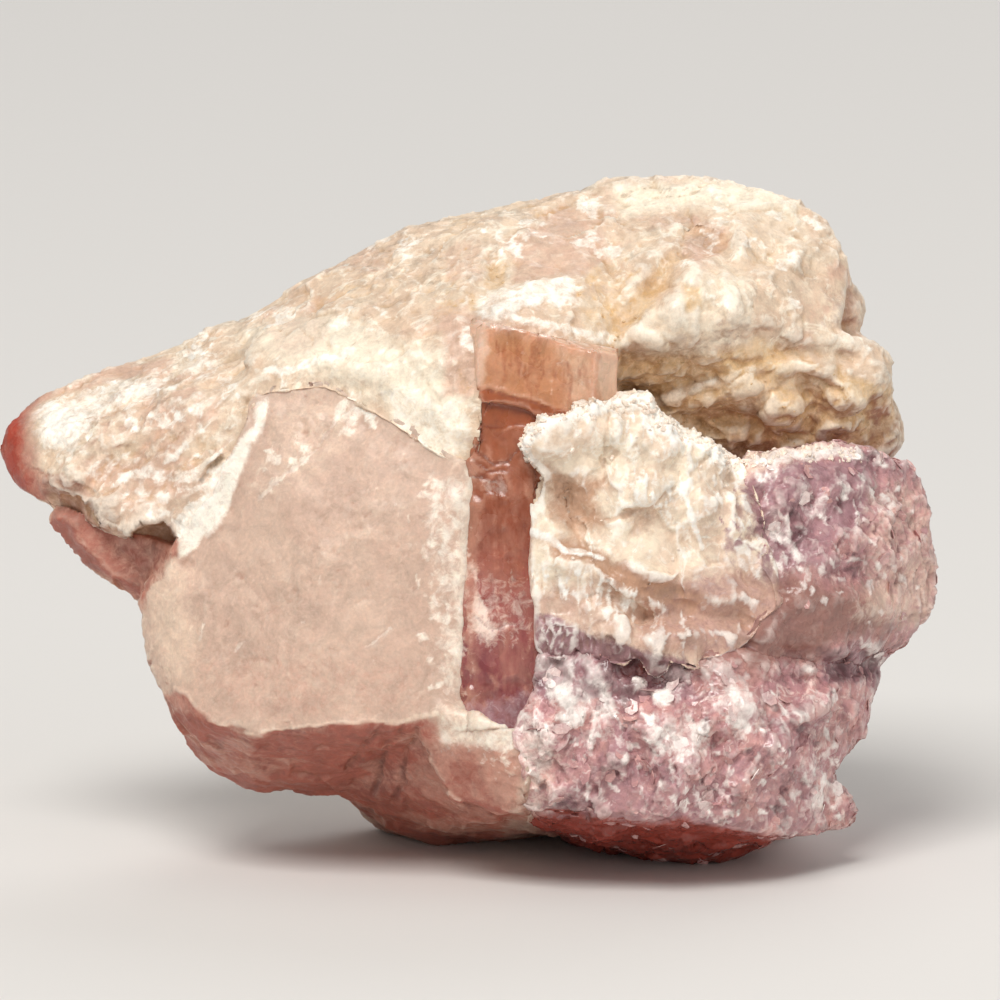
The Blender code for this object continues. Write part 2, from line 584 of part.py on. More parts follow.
def main():
    clear_scene()
    minerals = bpy.data.collections.new("tourmaline_specimen")
    bpy.context.scene.collection.children.link(minerals)

    crystal = crystal_body("tourmaline_crystal", minerals)
    ledge = mineral_body(
        "albite_ledge", (LEDGE_BLOCK,), LEDGE_LUMPS, LEDGE_RELIEF,
        (("CLOUDS", 5.0, 0.9), ("CLOUDS", 1.8, 0.5)), 1300, minerals,
    )
    quartz = mineral_body(
        "quartz_body",
        (QUARTZ_FACE_BLOCK, QUARTZ_WING_BLOCK, QUARTZ_CORE_BLOCK, QUARTZ_FOOT_BLOCK),
        (), (), (("CLOUDS", 12.0, 1.2), ("CLOUDS", 4.0, 0.4)), 1400, minerals,
    )
    cap = mineral_body(
        "feldspar_cap",
        (CAP_WING_BLOCK, CAP_SLAB_LEFT_BLOCK, CAP_SLAB_BLOCK, CAP_HEAD_BLOCK,
         CAP_POCKET_BLOCK, CAP_BACK_BLOCK, CAP_WING_BACK_BLOCK),
        CAP_LUMPS, CAP_RELIEF, (("CLOUDS", 8.0, 1.0), ("CLOUDS", 2.4, 0.6)), 2500,
        minerals,
    )
    lepidolite = mineral_body(
        "lepidolite_mass",
        (LEPIDOLITE_UPPER_BLOCK, LEPIDOLITE_LOWER_BLOCK, LEPIDOLITE_SPUR_BLOCK,
         LEPIDOLITE_BASE_BLOCK, LEPIDOLITE_BACK_BLOCK),
        (), LEPIDOLITE_RELIEF, (("CLOUDS", 6.0, 1.0), ("CLOUDS", 2.2, 0.7)), 2100,
        minerals,
    )
    grown_in_order = (crystal, ledge, cap, quartz, lepidolite)
    for index, body in enumerate(grown_in_order):
        for earlier in grown_in_order[:index]:
            make_room(body, earlier, minerals)
        keep_largest_piece(body)
    for body, finish in zip(grown_in_order, (PINK, WHITE, CREAM, ROSY_QUARTZ, LILAC)):
        cut_base(body)
        move_to_centre(body)
        paint(body, finish)


main()
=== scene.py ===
"""Dresses the tourmaline specimen: its five minerals, their finishes, the floor, light and camera.

Shapes and stains are placed on a chart of the display face: tenths of a millimetre, x to the right
and y down, as the face looks from the camera. Everything else is in millimetres, and becomes
metres when a mesh is written.
"""

from __future__ import annotations

import logging
import math
from dataclasses import dataclass
from enum import Enum
from typing import Any, Sequence

import bmesh
import bpy
import numpy as np
from mathutils import Matrix, Vector
from mathutils.bvhtree import BVHTree


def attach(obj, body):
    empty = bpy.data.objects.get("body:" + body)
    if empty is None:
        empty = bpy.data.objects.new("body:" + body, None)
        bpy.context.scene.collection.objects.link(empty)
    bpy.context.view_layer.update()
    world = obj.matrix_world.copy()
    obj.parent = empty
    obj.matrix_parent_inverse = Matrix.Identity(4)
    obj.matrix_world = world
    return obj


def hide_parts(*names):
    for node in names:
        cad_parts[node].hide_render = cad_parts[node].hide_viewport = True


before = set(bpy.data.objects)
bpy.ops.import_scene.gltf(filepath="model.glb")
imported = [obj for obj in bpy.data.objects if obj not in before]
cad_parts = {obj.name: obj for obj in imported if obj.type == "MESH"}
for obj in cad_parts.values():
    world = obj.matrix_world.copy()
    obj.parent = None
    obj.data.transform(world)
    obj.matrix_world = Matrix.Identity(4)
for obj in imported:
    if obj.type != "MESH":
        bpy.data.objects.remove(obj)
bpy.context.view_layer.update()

MM = 0.001
STONE_IOR = 1.54
COAT_ROUGHNESS = 0.12
LOG = logging.getLogger("specimen")
Array = np.ndarray
Colour = tuple[float, float, float]


# --- the display face ---------------------------------------------------------------------------

# The chart's x and y in its middle, and its units in a millimetre.
CHART_MIDDLE = 500.0
CHART_SCALE = 10.0


@dataclass(frozen=True)
class DisplayFace:
    """The leaning plane that the specimen shows to the camera.

    Args:
        lean: how far the face leans back, in radians.
        middle: what was taken from x and y, and from z, when the specimen was set down, in mm.
        aim: the (across, up) of the chart's middle, in mm.
        sight: how far off the eye is, in mm.
    """

    lean: float = math.radians(10.0)
    middle: tuple[float, float, float] = (0.07, 4.92, 0.3)
    aim: tuple[float, float] = (3.3, 36.2)
    sight: float = 1000.0

    def axes(self) -> Array:
        """Across, up and out as rows, in the specimen's frame."""
        sin, cos = math.sin(self.lean), math.cos(self.lean)
        return np.array([[1.0, 0.0, 0.0], [0.0, sin, cos], [0.0, -cos, sin]])

    def on_face(self, points: Array) -> Array:
        """(across, up, out) of points in mm."""
        return (points + np.array(self.middle)) @ self.axes().T

    def off_face(self, place: Sequence[float]) -> Array:
        """The point in mm at an (across, up, out)."""
        return np.asarray(place, float) @ self.axes() - np.array(self.middle)

    def chart(self, points: Array) -> Array:
        """Where points stand on the chart.

        Args:
            points: in mm.

        Returns:
            Each point's x and y.
        """
        face = self.on_face(points)
        nearer = self.sight / (self.sight - face[:, 2])
        x = CHART_MIDDLE + CHART_SCALE * (face[:, 0] - self.aim[0]) * nearer
        y = CHART_MIDDLE - CHART_SCALE * (face[:, 1] - self.aim[1]) * nearer
        return np.stack([x, y], axis=1)


FACE = DisplayFace()


# --- meshes ---------------------------------------------------------------------------------------


def new_object(name: str, data: Any) -> bpy.types.Object:
    """A new object in the scene."""
    made = bpy.data.objects.new(name, data)
    bpy.context.scene.collection.objects.link(made)
    return made


def mesh_from(work: bmesh.types.BMesh, name: str) -> bpy.types.Mesh:
    """Writes a working mesh down as a new one, and frees it."""
    mesh = bpy.data.meshes.new(name)
    work.to_mesh(mesh)
    work.free()
    return mesh


def keep_result(piece: bpy.types.Object) -> None:
    """Swaps an object's mesh for what its modifiers make of it, and takes them off.

    Args:
        piece: the object.
    """
    graph = bpy.context.evaluated_depsgraph_get()
    old = piece.data
    piece.data = bpy.data.meshes.new_from_object(piece.evaluated_get(graph))
    piece.modifiers.clear()
    bpy.data.meshes.remove(old)


def read(items: Any, key: str, width: int = 3, kind: type = float) -> Array:
    """One property of every vertex or edge, a row for each."""
    flat = np.empty(len(items) * width, kind)
    items.foreach_get(key, flat)
    return flat.reshape(-1, width)


# --- grain: noise worked out on whole arrays ----------------------------------------------------


def scatter(cell: Array, salt: int) -> Array:
    """A fixed random number from 0 to 1 for each cell of a grid.

    Args:
        cell: whole-number cells, (..., 3).
        salt: picks one of many independent sets of numbers.

    Returns:
        One number per cell.
    """
    key = cell.astype(np.int64).astype(np.uint32)
    mixed = key[..., 0] * np.uint32(0x8DA6B343) ^ key[..., 1] * np.uint32(0xD8163841)
    mixed ^= key[..., 2] * np.uint32(0xCB1AB31F) ^ np.uint32((salt * 0x9E3779B1) & 0xFFFFFFFF)
    for shift, factor in ((15, 0x2C1B3C6D), (12, 0x297A2D39)):
        mixed ^= mixed >> np.uint32(shift)
        mixed *= np.uint32(factor)
    mixed ^= mixed >> np.uint32(15)
    return mixed / 4294967296.0


def ripple(points: Array, size: float, salt: int) -> Array:
    """Smooth noise from -1 to 1.

    Args:
        points: in mm.
        size: the swells' width, in mm.
        salt: picks the swells.

    Returns:
        The noise at each point.
    """
    scaled = points / size
    base = np.floor(scaled)
    share = scaled - base
    share = share * share * share * (share * (share * 6.0 - 15.0) + 10.0)
    total = np.zeros(len(points))
    for corner in range(8):
        step = np.array([corner & 1, corner >> 1 & 1, corner >> 2 & 1])
        weight = np.where(step, share, 1.0 - share).prod(axis=1)
        total += weight * scatter(base + step, salt)
    return total * 2.0 - 1.0


def swells(points: Array, size: float, octaves: int, salt: int, fade: float = 0.5) -> Array:
    """Noise of several sizes on top of each other, each half as large as the last.

    Args:
        points: in mm.
        size: the widest swells' width, in mm.
        octaves: how many sizes.
        salt: picks the swells.
        fade: each size's height, as a share of the last one's.

    Returns:
        The noise at each point, nearly all of it from -1 to 1.
    """
    total, height, most = np.zeros(len(points)), 1.0, 0.0
    for octave in range(octaves):
        turned = points @ TURN if octave % 2 else points
        total += height * ripple(turned, size / 2.0**octave, salt + octave)
        most += height
        height *= fade
    return total / most * 1.6


def turn_matrix() -> Array:
    """A rotation that keeps the noise of two sizes from lining up.

    Returns:
        The rotation.
    """
    yaw, pitch = 0.8, 0.6
    about_z = np.array(
        [[math.cos(yaw), -math.sin(yaw), 0], [math.sin(yaw), math.cos(yaw), 0], [0, 0, 1]]
    )
    about_x = np.array(
        [[1, 0, 0], [0, math.cos(pitch), -math.sin(pitch)], [0, math.sin(pitch), math.cos(pitch)]]
    )
    return about_z @ about_x


TURN = turn_matrix()


@dataclass
class Grains:
    """The nearest of a scatter of grain centres to each point.

    Args:
        near: distance to the nearest centre, as a share of the grain size.
        border: how much further the second nearest centre is, as a share of the grain size.
        offset: from the nearest centre to the point, in mm.
        cell: the nearest centre's cell.
    """

    near: Array
    border: Array
    offset: Array
    cell: Array

    @classmethod
    def among(cls, points: Array, size: float, salt: int) -> Grains:
        """Finds each point's grain.

        Args:
            points: in mm.
            size: the grains' size, in mm.
            salt: picks the scatter.

        Returns:
            The grains.
        """
        scaled = points / size
        base = np.floor(scaled)
        first = np.full(len(points), 9.0)
        second = np.full(len(points), 9.0)
        offset = np.zeros_like(scaled)
        cell = np.zeros_like(scaled)
        for index in range(27):
            step = np.array([index % 3, index // 3 % 3, index // 9]) - 1
            here = base + step
            centre = here + np.stack([scatter(here, salt + axis) for axis in range(3)], axis=1)
            apart = scaled - centre
            distance = np.sqrt((apart * apart).sum(axis=1))
            closer = distance < first
            second = np.where(closer, first, np.minimum(second, distance))
            first = np.where(closer, distance, first)
            offset[closer] = apart[closer]
            cell[closer] = here[closer]
        return cls(first, second - first, offset * size, cell)

    def tilted(self, steepness: float, salt: int, soft: float) -> Array:
        """The height in mm of a flat face on each grain, tilted its own way.

        Args:
            steepness: how steep the faces are.
            salt: picks the tilts.
            soft: how wide the rims are over which a face levels out, as a share of the grain size.

        Returns:
            The heights.
        """
        slope = np.stack([scatter(self.cell, salt + axis) for axis in range(3)], axis=1) * 2.0 - 1.0
        step = scatter(self.cell, salt + 7) - 0.5
        height = ((slope * self.offset).sum(axis=1) + step * 0.8) * steepness
        return height * ramp(self.border, 0.0, soft)

    def domes(self) -> Array:
        """A rounded lump on each grain, 1 at its top and 0 at its rim."""
        return np.clip(1.0 - 1.3 * self.near * self.near, 0.0, 1.0) * ramp(self.border, 0.0, 0.25)


@dataclass(frozen=True)
class Facets:
    """Flat broken faces of one size, each tilted its own way.

    Args:
        size: how wide they are, in mm.
        steepness: how steep they are.
        places: picks where they are.
        tilts: picks their tilts.
        rim: how wide their rims are, as a share of the size.
    """

    size: float
    steepness: float
    places: int
    tilts: int
    rim: float

    def height(self, points: Array) -> Array:
        """Their height at each point, in mm."""
        grains = Grains.among(points, self.size, self.places)
        return grains.tilted(self.steepness, self.tilts, self.rim)


def shaken(points: Array, size: float, reach: float, salt: int) -> Array:
    """The points shaken about by up to a reach in mm, so that grains get crooked borders."""
    shake = [swells(points, size, 2, salt + 20 * axis) for axis in range(3)]
    return points + reach * np.stack(shake, axis=1)


def drawn_out(points: Array, angle: float, stretch: float) -> Array:
    """Places on the display face, drawn out along a direction, for streaks.

    Args:
        points: in mm.
        angle: the streaks' direction on the chart, in degrees; 0 runs right and 90 runs down.
        stretch: how many times longer than wide the streaks are.

    Returns:
        The places, in mm.
    """
    face = FACE.on_face(points)
    turn = math.radians(-angle)
    along = face[:, 0] * math.cos(turn) + face[:, 1] * math.sin(turn)
    aside = face[:, 1] * math.cos(turn) - face[:, 0] * math.sin(turn)
    return np.stack([along / stretch, aside, face[:, 2]], axis=1)


def ramp(value: Array, low: float, high: float) -> Array:
    """A smooth step from 0 at low to 1 at high, which may be the smaller of the two."""
    share = np.clip((value - low) / (high - low), 0.0, 1.0)
    return share * share * (3.0 - 2.0 * share)


# --- what is drawn on the chart -----------------------------------------------------------------


class Mark(str, Enum):
    """What a place on a mineral carries, from 0 to 1; each is a number on every vertex."""

    # White: real white grains, veins and frost, and on the mica and the prism also painted glints and
    # highlights.
    WHITE_AND_GLINT = "white_and_glint"
    CLAY = "clay"
    ROSE = "rose"
    LILAC = "lilac"
    PALE = "pale"
    # Red-brown: the real colour of some grains and zones, and painted red-brown shade on undersides and in
    # hollows under overhangs.
    RED_AND_UNDERSHADE = "red_and_undershade"
    SHADE = "shade"
    # Painted red glow on the left tip.
    TIP_GLOW = "tip_glow"
    CALM = "calm"
    RISE = "rise"
    # Painted shade in hollows.
    HOLLOW_SHADE = "hollow_shade"
    # Painted highlights on ridges.
    EDGE = "edge"
    FLAKE = "flake"
    FROST = "frost"


# The marks' short names, for the lists of features.
WHITE_AND_GLINT, CLAY, ROSE, LILAC, PALE, RED_AND_UNDERSHADE, SHADE, TIP_GLOW, CALM, RISE, HOLLOW_SHADE, EDGE, FLAKE, FROST = Mark

Path = tuple[tuple[float, float], ...]


def distance_to_path(chart: Array, path: Path, closed: bool = False) -> Array:
    """Each chart point's distance to a line through the path's corners.

    Args:
        chart: the chart points.
        path: the corners.
        closed: whether the last corner joins the first.

    Returns:
        The distances, on the chart.
    """
    corners = list(path) + ([path[0]] if closed else [])
    nearest = np.full(len(chart), 1e9)
    for start, end in zip(corners[:-1], corners[1:]):
        a, along = np.array(start, float), np.array(end, float) - np.array(start, float)
        share = np.clip((chart - a) @ along / max(along @ along, 1e-9), 0.0, 1.0)
        nearest = np.minimum(nearest, np.linalg.norm(chart - a - share[:, None] * along, axis=1))
    return nearest


def close_by(chart: Array, path: Path, reach: float) -> Array:
    """The numbers of the chart points that lie within reach of a path's box."""
    corners = np.array(path, float)
    low, high = corners.min(axis=0) - reach, corners.max(axis=0) + reach
    return np.flatnonzero(((chart > low) & (chart < high)).all(axis=1))


def inside(chart: Array, outline: Path) -> Array:
    """Whether each chart point is within a closed outline.

    Args:
        chart: the chart points.
        outline: the outline's corners.

    Returns:
        True for each point inside.
    """
    within = np.zeros(len(chart), bool)
    x, y = chart[:, 0], chart[:, 1]
    for (ax, ay), (bx, by) in zip(outline, outline[1:] + outline[:1]):
        crosses = (ay > y) != (by > y)
        slope = (bx - ax) / (by - ay) if by != ay else 0.0
        within ^= crosses & (x < ax + (y - ay) * slope)
    return within


@dataclass(frozen=True)
class Feature:
    """Something on the chart that cuts, raises or marks the skin under it.

    Args:
        size: half a line's width, or how wide an area's edge is on either side, on the chart.
        marks: what it carries, by mark; a negative amount clears the mark.
        path: the corners of its line or outline.
        depth: how far it is cut in, in mm; a negative depth is a ridge.
    """

    size: float
    marks: dict[Mark, float]
    path: Path
    depth: float = 0.0

    def weight(self, chart: Array) -> Array:
        """How much of it each chart point has, from 0 to 1.

        Args:
            chart: the chart points.

        Returns:
            The share at each point.
        """
        raise NotImplementedError


class Stroke(Feature):
    """A line on the chart: a groove, a ridge, a stain or a vein."""

    def weight(self, chart: Array) -> Array:
        """How much of the stroke each chart point has, from 0 to 1."""
        total = np.zeros(len(chart))
        near = close_by(chart, self.path, 1.5 * self.size)
        away = distance_to_path(chart[near], self.path)
        total[near] = 1.0 - ramp(away, 0.35 * self.size, 1.5 * self.size)
        return total


class Patch(Feature):
    """An area on the chart with a soft edge."""

    def weight(self, chart: Array) -> Array:
        """How much of the patch each chart point has, from 0 to 1."""
        total = np.zeros(len(chart))
        near = close_by(chart, self.path, self.size)
        away = distance_to_path(chart[near], self.path, closed=True)
        signed = np.where(inside(chart[near], self.path), away, -away)
        total[near] = ramp(signed, -self.size, self.size)
        return total


@dataclass(frozen=True)
class Flecks(Feature):
    """Many splinters strewn over an area of the chart, pointed at both ends.

    Args:
        count: how many splinters.
        length: (shortest, longest), on the chart.
        angle: (direction, spread), in degrees; 0 runs right and 90 runs down.
        seed: picks the places.
    """

    count: int = 40
    length: tuple[float, float] = (8, 26)
    angle: tuple[float, float] = (60, 40)
    seed: int = 1

    def weight(self, chart: Array) -> Array:
        """How much of any splinter each chart point has, from 0 to 1."""
        rng = np.random.default_rng(self.seed)
        corners = np.array(self.path, float)
        low, high = corners.min(axis=0), corners.max(axis=0)
        total = np.zeros(len(chart))
        placed = 0
        pool = close_by(chart, self.path, self.length[1])
        spots = chart[pool]
        held = np.zeros(len(pool))
        while placed < self.count:
            middle = low + rng.random(2) * (high - low)
            length = rng.uniform(*self.length)
            turn = math.radians(self.angle[0] + self.angle[1] * rng.uniform(-1.0, 1.0))
            width = self.size * rng.uniform(0.6, 1.6)
            strength = rng.uniform(0.5, 1.0)
            if not inside(middle[None], self.path)[0]:
                continue
            near = np.flatnonzero((np.abs(spots - middle) < 0.5 * length + width).all(axis=1))
            apart = spots[near] - middle
            along = np.abs(apart @ np.array([math.cos(turn), math.sin(turn)])) / (0.5 * length)
            aside = np.abs(apart @ np.array([-math.sin(turn), math.cos(turn)])) / (1.6 * width)
            held[near] = np.maximum(held[near], strength * (1.0 - ramp(along + aside, 0.45, 1.1)))
            placed += 1
        total[pool] = held
        return total


@dataclass(frozen=True)
class Cut:
    """A corner broken off, or a hollow filled up: the skin inside an outline is drawn to a level.

    Args:
        path: the outline, on the chart.
        floor: how far out the level lies, in mm.
        filled: whether what lies under the level is raised to it, too.
    """

    path: Path
    floor: float
    filled: bool = False


# --- a mineral's skin ---------------------------------------------------------------------------

# How many times the skin is smoothed to tell the hollows that get painted shade and the ridges that get
# painted highlights, and each smoothing's share.
SMOOTHINGS = ((4, 0.45), (28, 0.55))

# How much a face has to look forward, from 0 to 1, for its grain to be halved.
FORWARD = 0.12

# The small teeth along a rim, and half the width of the band that has them, on the chart.
TEETH = Facets(0.95, 0.5, 157, 159, 0.1)
TOOTHED = 8.0


class Skin:
    """A fine skin over a mineral's CAD node, worked on as arrays and written back as one closed mesh."""

    def __init__(self, mineral: Mineral) -> None:
        """Makes the skin of a mineral, and draws it up to its neighbours.

        Args:
            mineral: the mineral.
        """
        self.node = mineral.node
        work = bmesh.new()
        work.from_mesh(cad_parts[self.node].data)
        bmesh.ops.remove_doubles(work, verts=work.verts, dist=1e-6)
        name = self.node.title()
        self.object = new_object(name, mesh_from(work, name))
        remesh = self.object.modifiers.new("skin", "REMESH")
        remesh.mode = "VOXEL"
        remesh.voxel_size = mineral.voxel * MM
        keep_result(self.object)
        data = self.object.data
        data.name = name
        if mineral.finer:
            self.refine()
        self.points = read(data.vertices, "co") / MM
        self.edges = read(data.edges, "vertices", 2, np.int32)
        self.links = np.bincount(self.edges.ravel(), minlength=len(self.points))[:, None]
        self.marks: dict[Mark, Array] = {}
        self.points = self.relaxed(self.points, mineral.calm)
        self.renew()
        self.push(np.full(len(self.points), mineral.swell))
        self.seam = np.zeros(len(self.points))
        self.close_up(dict(mineral.levels))

    def refine(self) -> None:
        """Halves the grain of the faces that look forward."""
        work = bmesh.new()
        work.from_mesh(self.object.data)
        out = Vector(FACE.axes()[2])
        work.normal_update()
        edges = {edge for face in work.faces if face.normal.dot(out) > FORWARD for edge in face.edges}
        bmesh.ops.subdivide_edges(work, edges=list(edges), cuts=1, use_grid_fill=True)
        work.to_mesh(self.object.data)
        work.free()

    def close_up(self, levels: dict[str, float], reach: float = 3.5, most: float = 0.6) -> None:
        """Draws what lies near a neighbour towards it, and sinks a step down to the neighbour.

        Args:
            levels: the highest step that is sunk, in mm, by the neighbour's name.
            reach: how near to a neighbour, in mm.
            most: how far a point is drawn sideways, in mm.
        """
        out = FACE.axes()[2]
        moved = self.points.copy()
        for name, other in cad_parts.items():
            if name == self.node:
                continue
            level = levels.get(name, 0.0)
            corners = [tuple(v.co / MM) for v in other.data.vertices]
            tree = BVHTree.FromPolygons(corners, [tuple(f.vertices) for f in other.data.polygons])
            box = np.array(corners)
            within = (self.points > box.min(axis=0) - reach) & (self.points < box.max(axis=0) + reach)
            near, spots = [], []
            for index in np.flatnonzero(within.all(axis=1)):
                spot = tree.find_nearest(self.points[index], reach)[0]
                if spot is not None:
                    near.append(index)
                    spots.append(spot)
            if not near:
                continue
            gap = np.array(spots) - self.points[near]
            step = gap @ out
            gap -= step[:, None] * out
            away = np.linalg.norm(gap, axis=1)
            share = ramp(away, 1.6, 0.3)
            pull = np.minimum(away + 0.15, most) * share / np.maximum(away, 1e-4)
            forward = ramp(self.facing[near], 0.0, 0.4)
            sink = np.clip(step, -level, 0.3 * level) * ramp(away, reach, 0.3)
            fill = 0.25 * ramp(away, 0.9, 0.1) * (level > 0.0)
            moved[near] += gap * pull[:, None] + ((sink + fill) * forward)[:, None] * out
            self.seam[near] = np.maximum(self.seam[near], share * forward * (level > 0.0))
        self.points = moved
        self.renew()

    def relaxed(self, points: Array, times: int) -> Array:
        """The points after each has moved to the middle of its neighbours a number of times.

        Args:
            points: in mm.
            times: how many times.

        Returns:
            The moved points.
        """
        a, b = self.edges[:, 0], self.edges[:, 1]
        for _ in range(times):
            total = np.empty_like(points)
            for axis in range(3):
                total[:, axis] = np.bincount(a, points[b, axis], len(points))
                total[:, axis] += np.bincount(b, points[a, axis], len(points))
            points = 0.4 * points + 0.6 * total / self.links
        return points

    def renew(self) -> None:
        """Writes the points to the mesh, and reads its normals and the chart again."""
        data = self.object.data
        self.points[:, 2] = np.maximum(self.points[:, 2], 0.0)
        data.vertices.foreach_set("co", (self.points * MM).ravel())
        data.update()
        self.normals = read(data.vertex_normals, "vector")
        self.chart = FACE.chart(self.points)
        self.facing = self.normals @ FACE.axes()[2]
        self.out = FACE.on_face(self.points)[:, 2]

    def push(self, height: Array) -> None:
        """Moves every vertex out along its normal, in mm."""
        self.points = self.points + self.normals * height[:, None]
        self.renew()

    def cut(self, cuts: Sequence[Cut]) -> None:
        """Breaks corners off and fills hollows up.

        Args:
            cuts: the corners and hollows.
        """
        out = FACE.axes()[2]
        chart = self.frayed(3.0, 1.2, 350)
        for cut in cuts:
            spare = np.clip(self.out - cut.floor, 0.0, None) * inside(chart, cut.path)
            if cut.filled:
                front = ramp(self.facing, 0.0, 0.3) * ramp(self.out, cut.floor - 6.0, cut.floor - 4.5)
                lack = np.clip(cut.floor - self.out, 0.0, None) * Patch(12.0, {}, cut.path).weight(chart)
                spare = -lack * front
            self.points -= spare[:, None] * out
        self.renew()

    def heal(self, path: Path, width: float = 9.0, times: int = 60) -> None:
        """Smooths away a crack along a path.

        Args:
            path: where the crack runs; nothing is done when it is empty.
            width: half the width that is smoothed, on the chart.
            times: how many times it is smoothed.
        """
        if not path:
            return
        weight = Stroke(width, {}, path).weight(self.chart) * ramp(self.facing, -0.6, -0.2)
        self.points += weight[:, None] * (self.relaxed(self.points, times) - self.points)
        self.renew()

    def frayed(self, reach: float, size: float, salt: int) -> Array:
        """The chart with its places shaken, so that what is drawn on it has ragged edges."""
        shake = [swells(self.points, size, 3, salt + 20 * axis) for axis in range(2)]
        return self.chart + reach * np.stack(shake, axis=1)

    def mark(self, kind: Mark) -> Array:
        """The amount of one mark on every vertex."""
        return self.marks.setdefault(kind, np.zeros(len(self.points)))

    def add(self, kind: Mark, amount: Array) -> None:
        """Adds to one mark, up to 1."""
        self.marks[kind] = np.clip(self.mark(kind) + amount, 0.0, 1.0)

    def draw(self, features: Sequence[Feature], reach: float = 5.0, salt: int = 300) -> None:
        """Cuts, raises and marks what the chart shows, on the faces that look forward.

        Args:
            features: the patches, strokes and flecks, in order.
            reach: how far their edges are frayed, in tenths of a millimetre.
            salt: picks the fraying.
        """
        chart = self.frayed(reach, 3.0, salt)
        front = ramp(self.facing, -0.05, 0.3) * ramp(self.out, -8.0, -4.0)
        height = np.zeros(len(self.points))
        for feature in features:
            weight = feature.weight(chart) * front
            height -= feature.depth * weight
            for kind, amount in feature.marks.items():
                held = self.mark(kind)
                goal = 1.0 if amount > 0.0 else 0.0
                self.marks[kind] = held + (goal - held) * weight * abs(amount)
        self.push(height)

    def weather(self, scale: float) -> None:
        """Marks hollows for painted shade and ridges for painted highlights, from how far the surface lies
        under or over its smooth self.

        Args:
            scale: how deep a hollow counts in full, in mm.
        """
        total = np.zeros(len(self.points))
        for times, share in SMOOTHINGS:
            smooth = self.relaxed(self.points, times)
            total += share * ((smooth - self.points) * self.normals).sum(axis=1)
        clear = 1.0 - 0.8 * self.seam
        self.marks[HOLLOW_SHADE] = np.clip(total / scale, 0.0, 1.0) * clear
        self.marks[EDGE] = np.clip(-total / scale, 0.0, 1.0) * clear

    def finish(self, finish: Finish, slot: str) -> bpy.types.Object:
        """Writes the marks, gives the skin its material and sets it on the specimen.

        Args:
            finish: the mineral's finish.
            slot: the record's material slot; not used.

        Returns:
            The finished piece.
        """
        data = self.object.data
        for kind, values in self.marks.items():
            layer = data.attributes.new(kind.value, "FLOAT", "POINT")
            layer.data.foreach_set("value", values.astype(np.float32))
        data.shade_smooth()
        data.materials.clear()
        data.materials.append(finish.material())
        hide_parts(self.node)
        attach(self.object, "root")
        LOG.info("%s: %d faces", self.object.name, len(data.polygons))
        return self.object


# --- node trees ---------------------------------------------------------------------------------


@dataclass(frozen=True)
class Wire:
    """A node's output, on which arithmetic adds Math nodes.

    Args:
        book: adds the nodes.
        socket: the output.
    """

    book: NodeBook
    socket: bpy.types.NodeSocket

    def _maths(self, operation: str, first: Any, second: Any) -> Wire:
        """A Math node on two values."""
        return self.book.add("ShaderNodeMath", {"operation": operation}, {0: first, 1: second})

    def __add__(self, other: Any) -> Wire:
        """The sum."""
        return self._maths("ADD", self, other)

    __radd__ = __add__

    def __sub__(self, other: Any) -> Wire:
        """The difference."""
        return self._maths("SUBTRACT", self, other)

    def __rsub__(self, other: Any) -> Wire:
        """The difference from a number."""
        return self._maths("SUBTRACT", other, self)

    def __mul__(self, other: Any) -> Wire:
        """The product."""
        return self._maths("MULTIPLY", self, other)

    __rmul__ = __mul__

    def clamped(self) -> Wire:
        """The value kept from 0 to 1."""
        return self.book.add("ShaderNodeClamp", {}, {0: self})


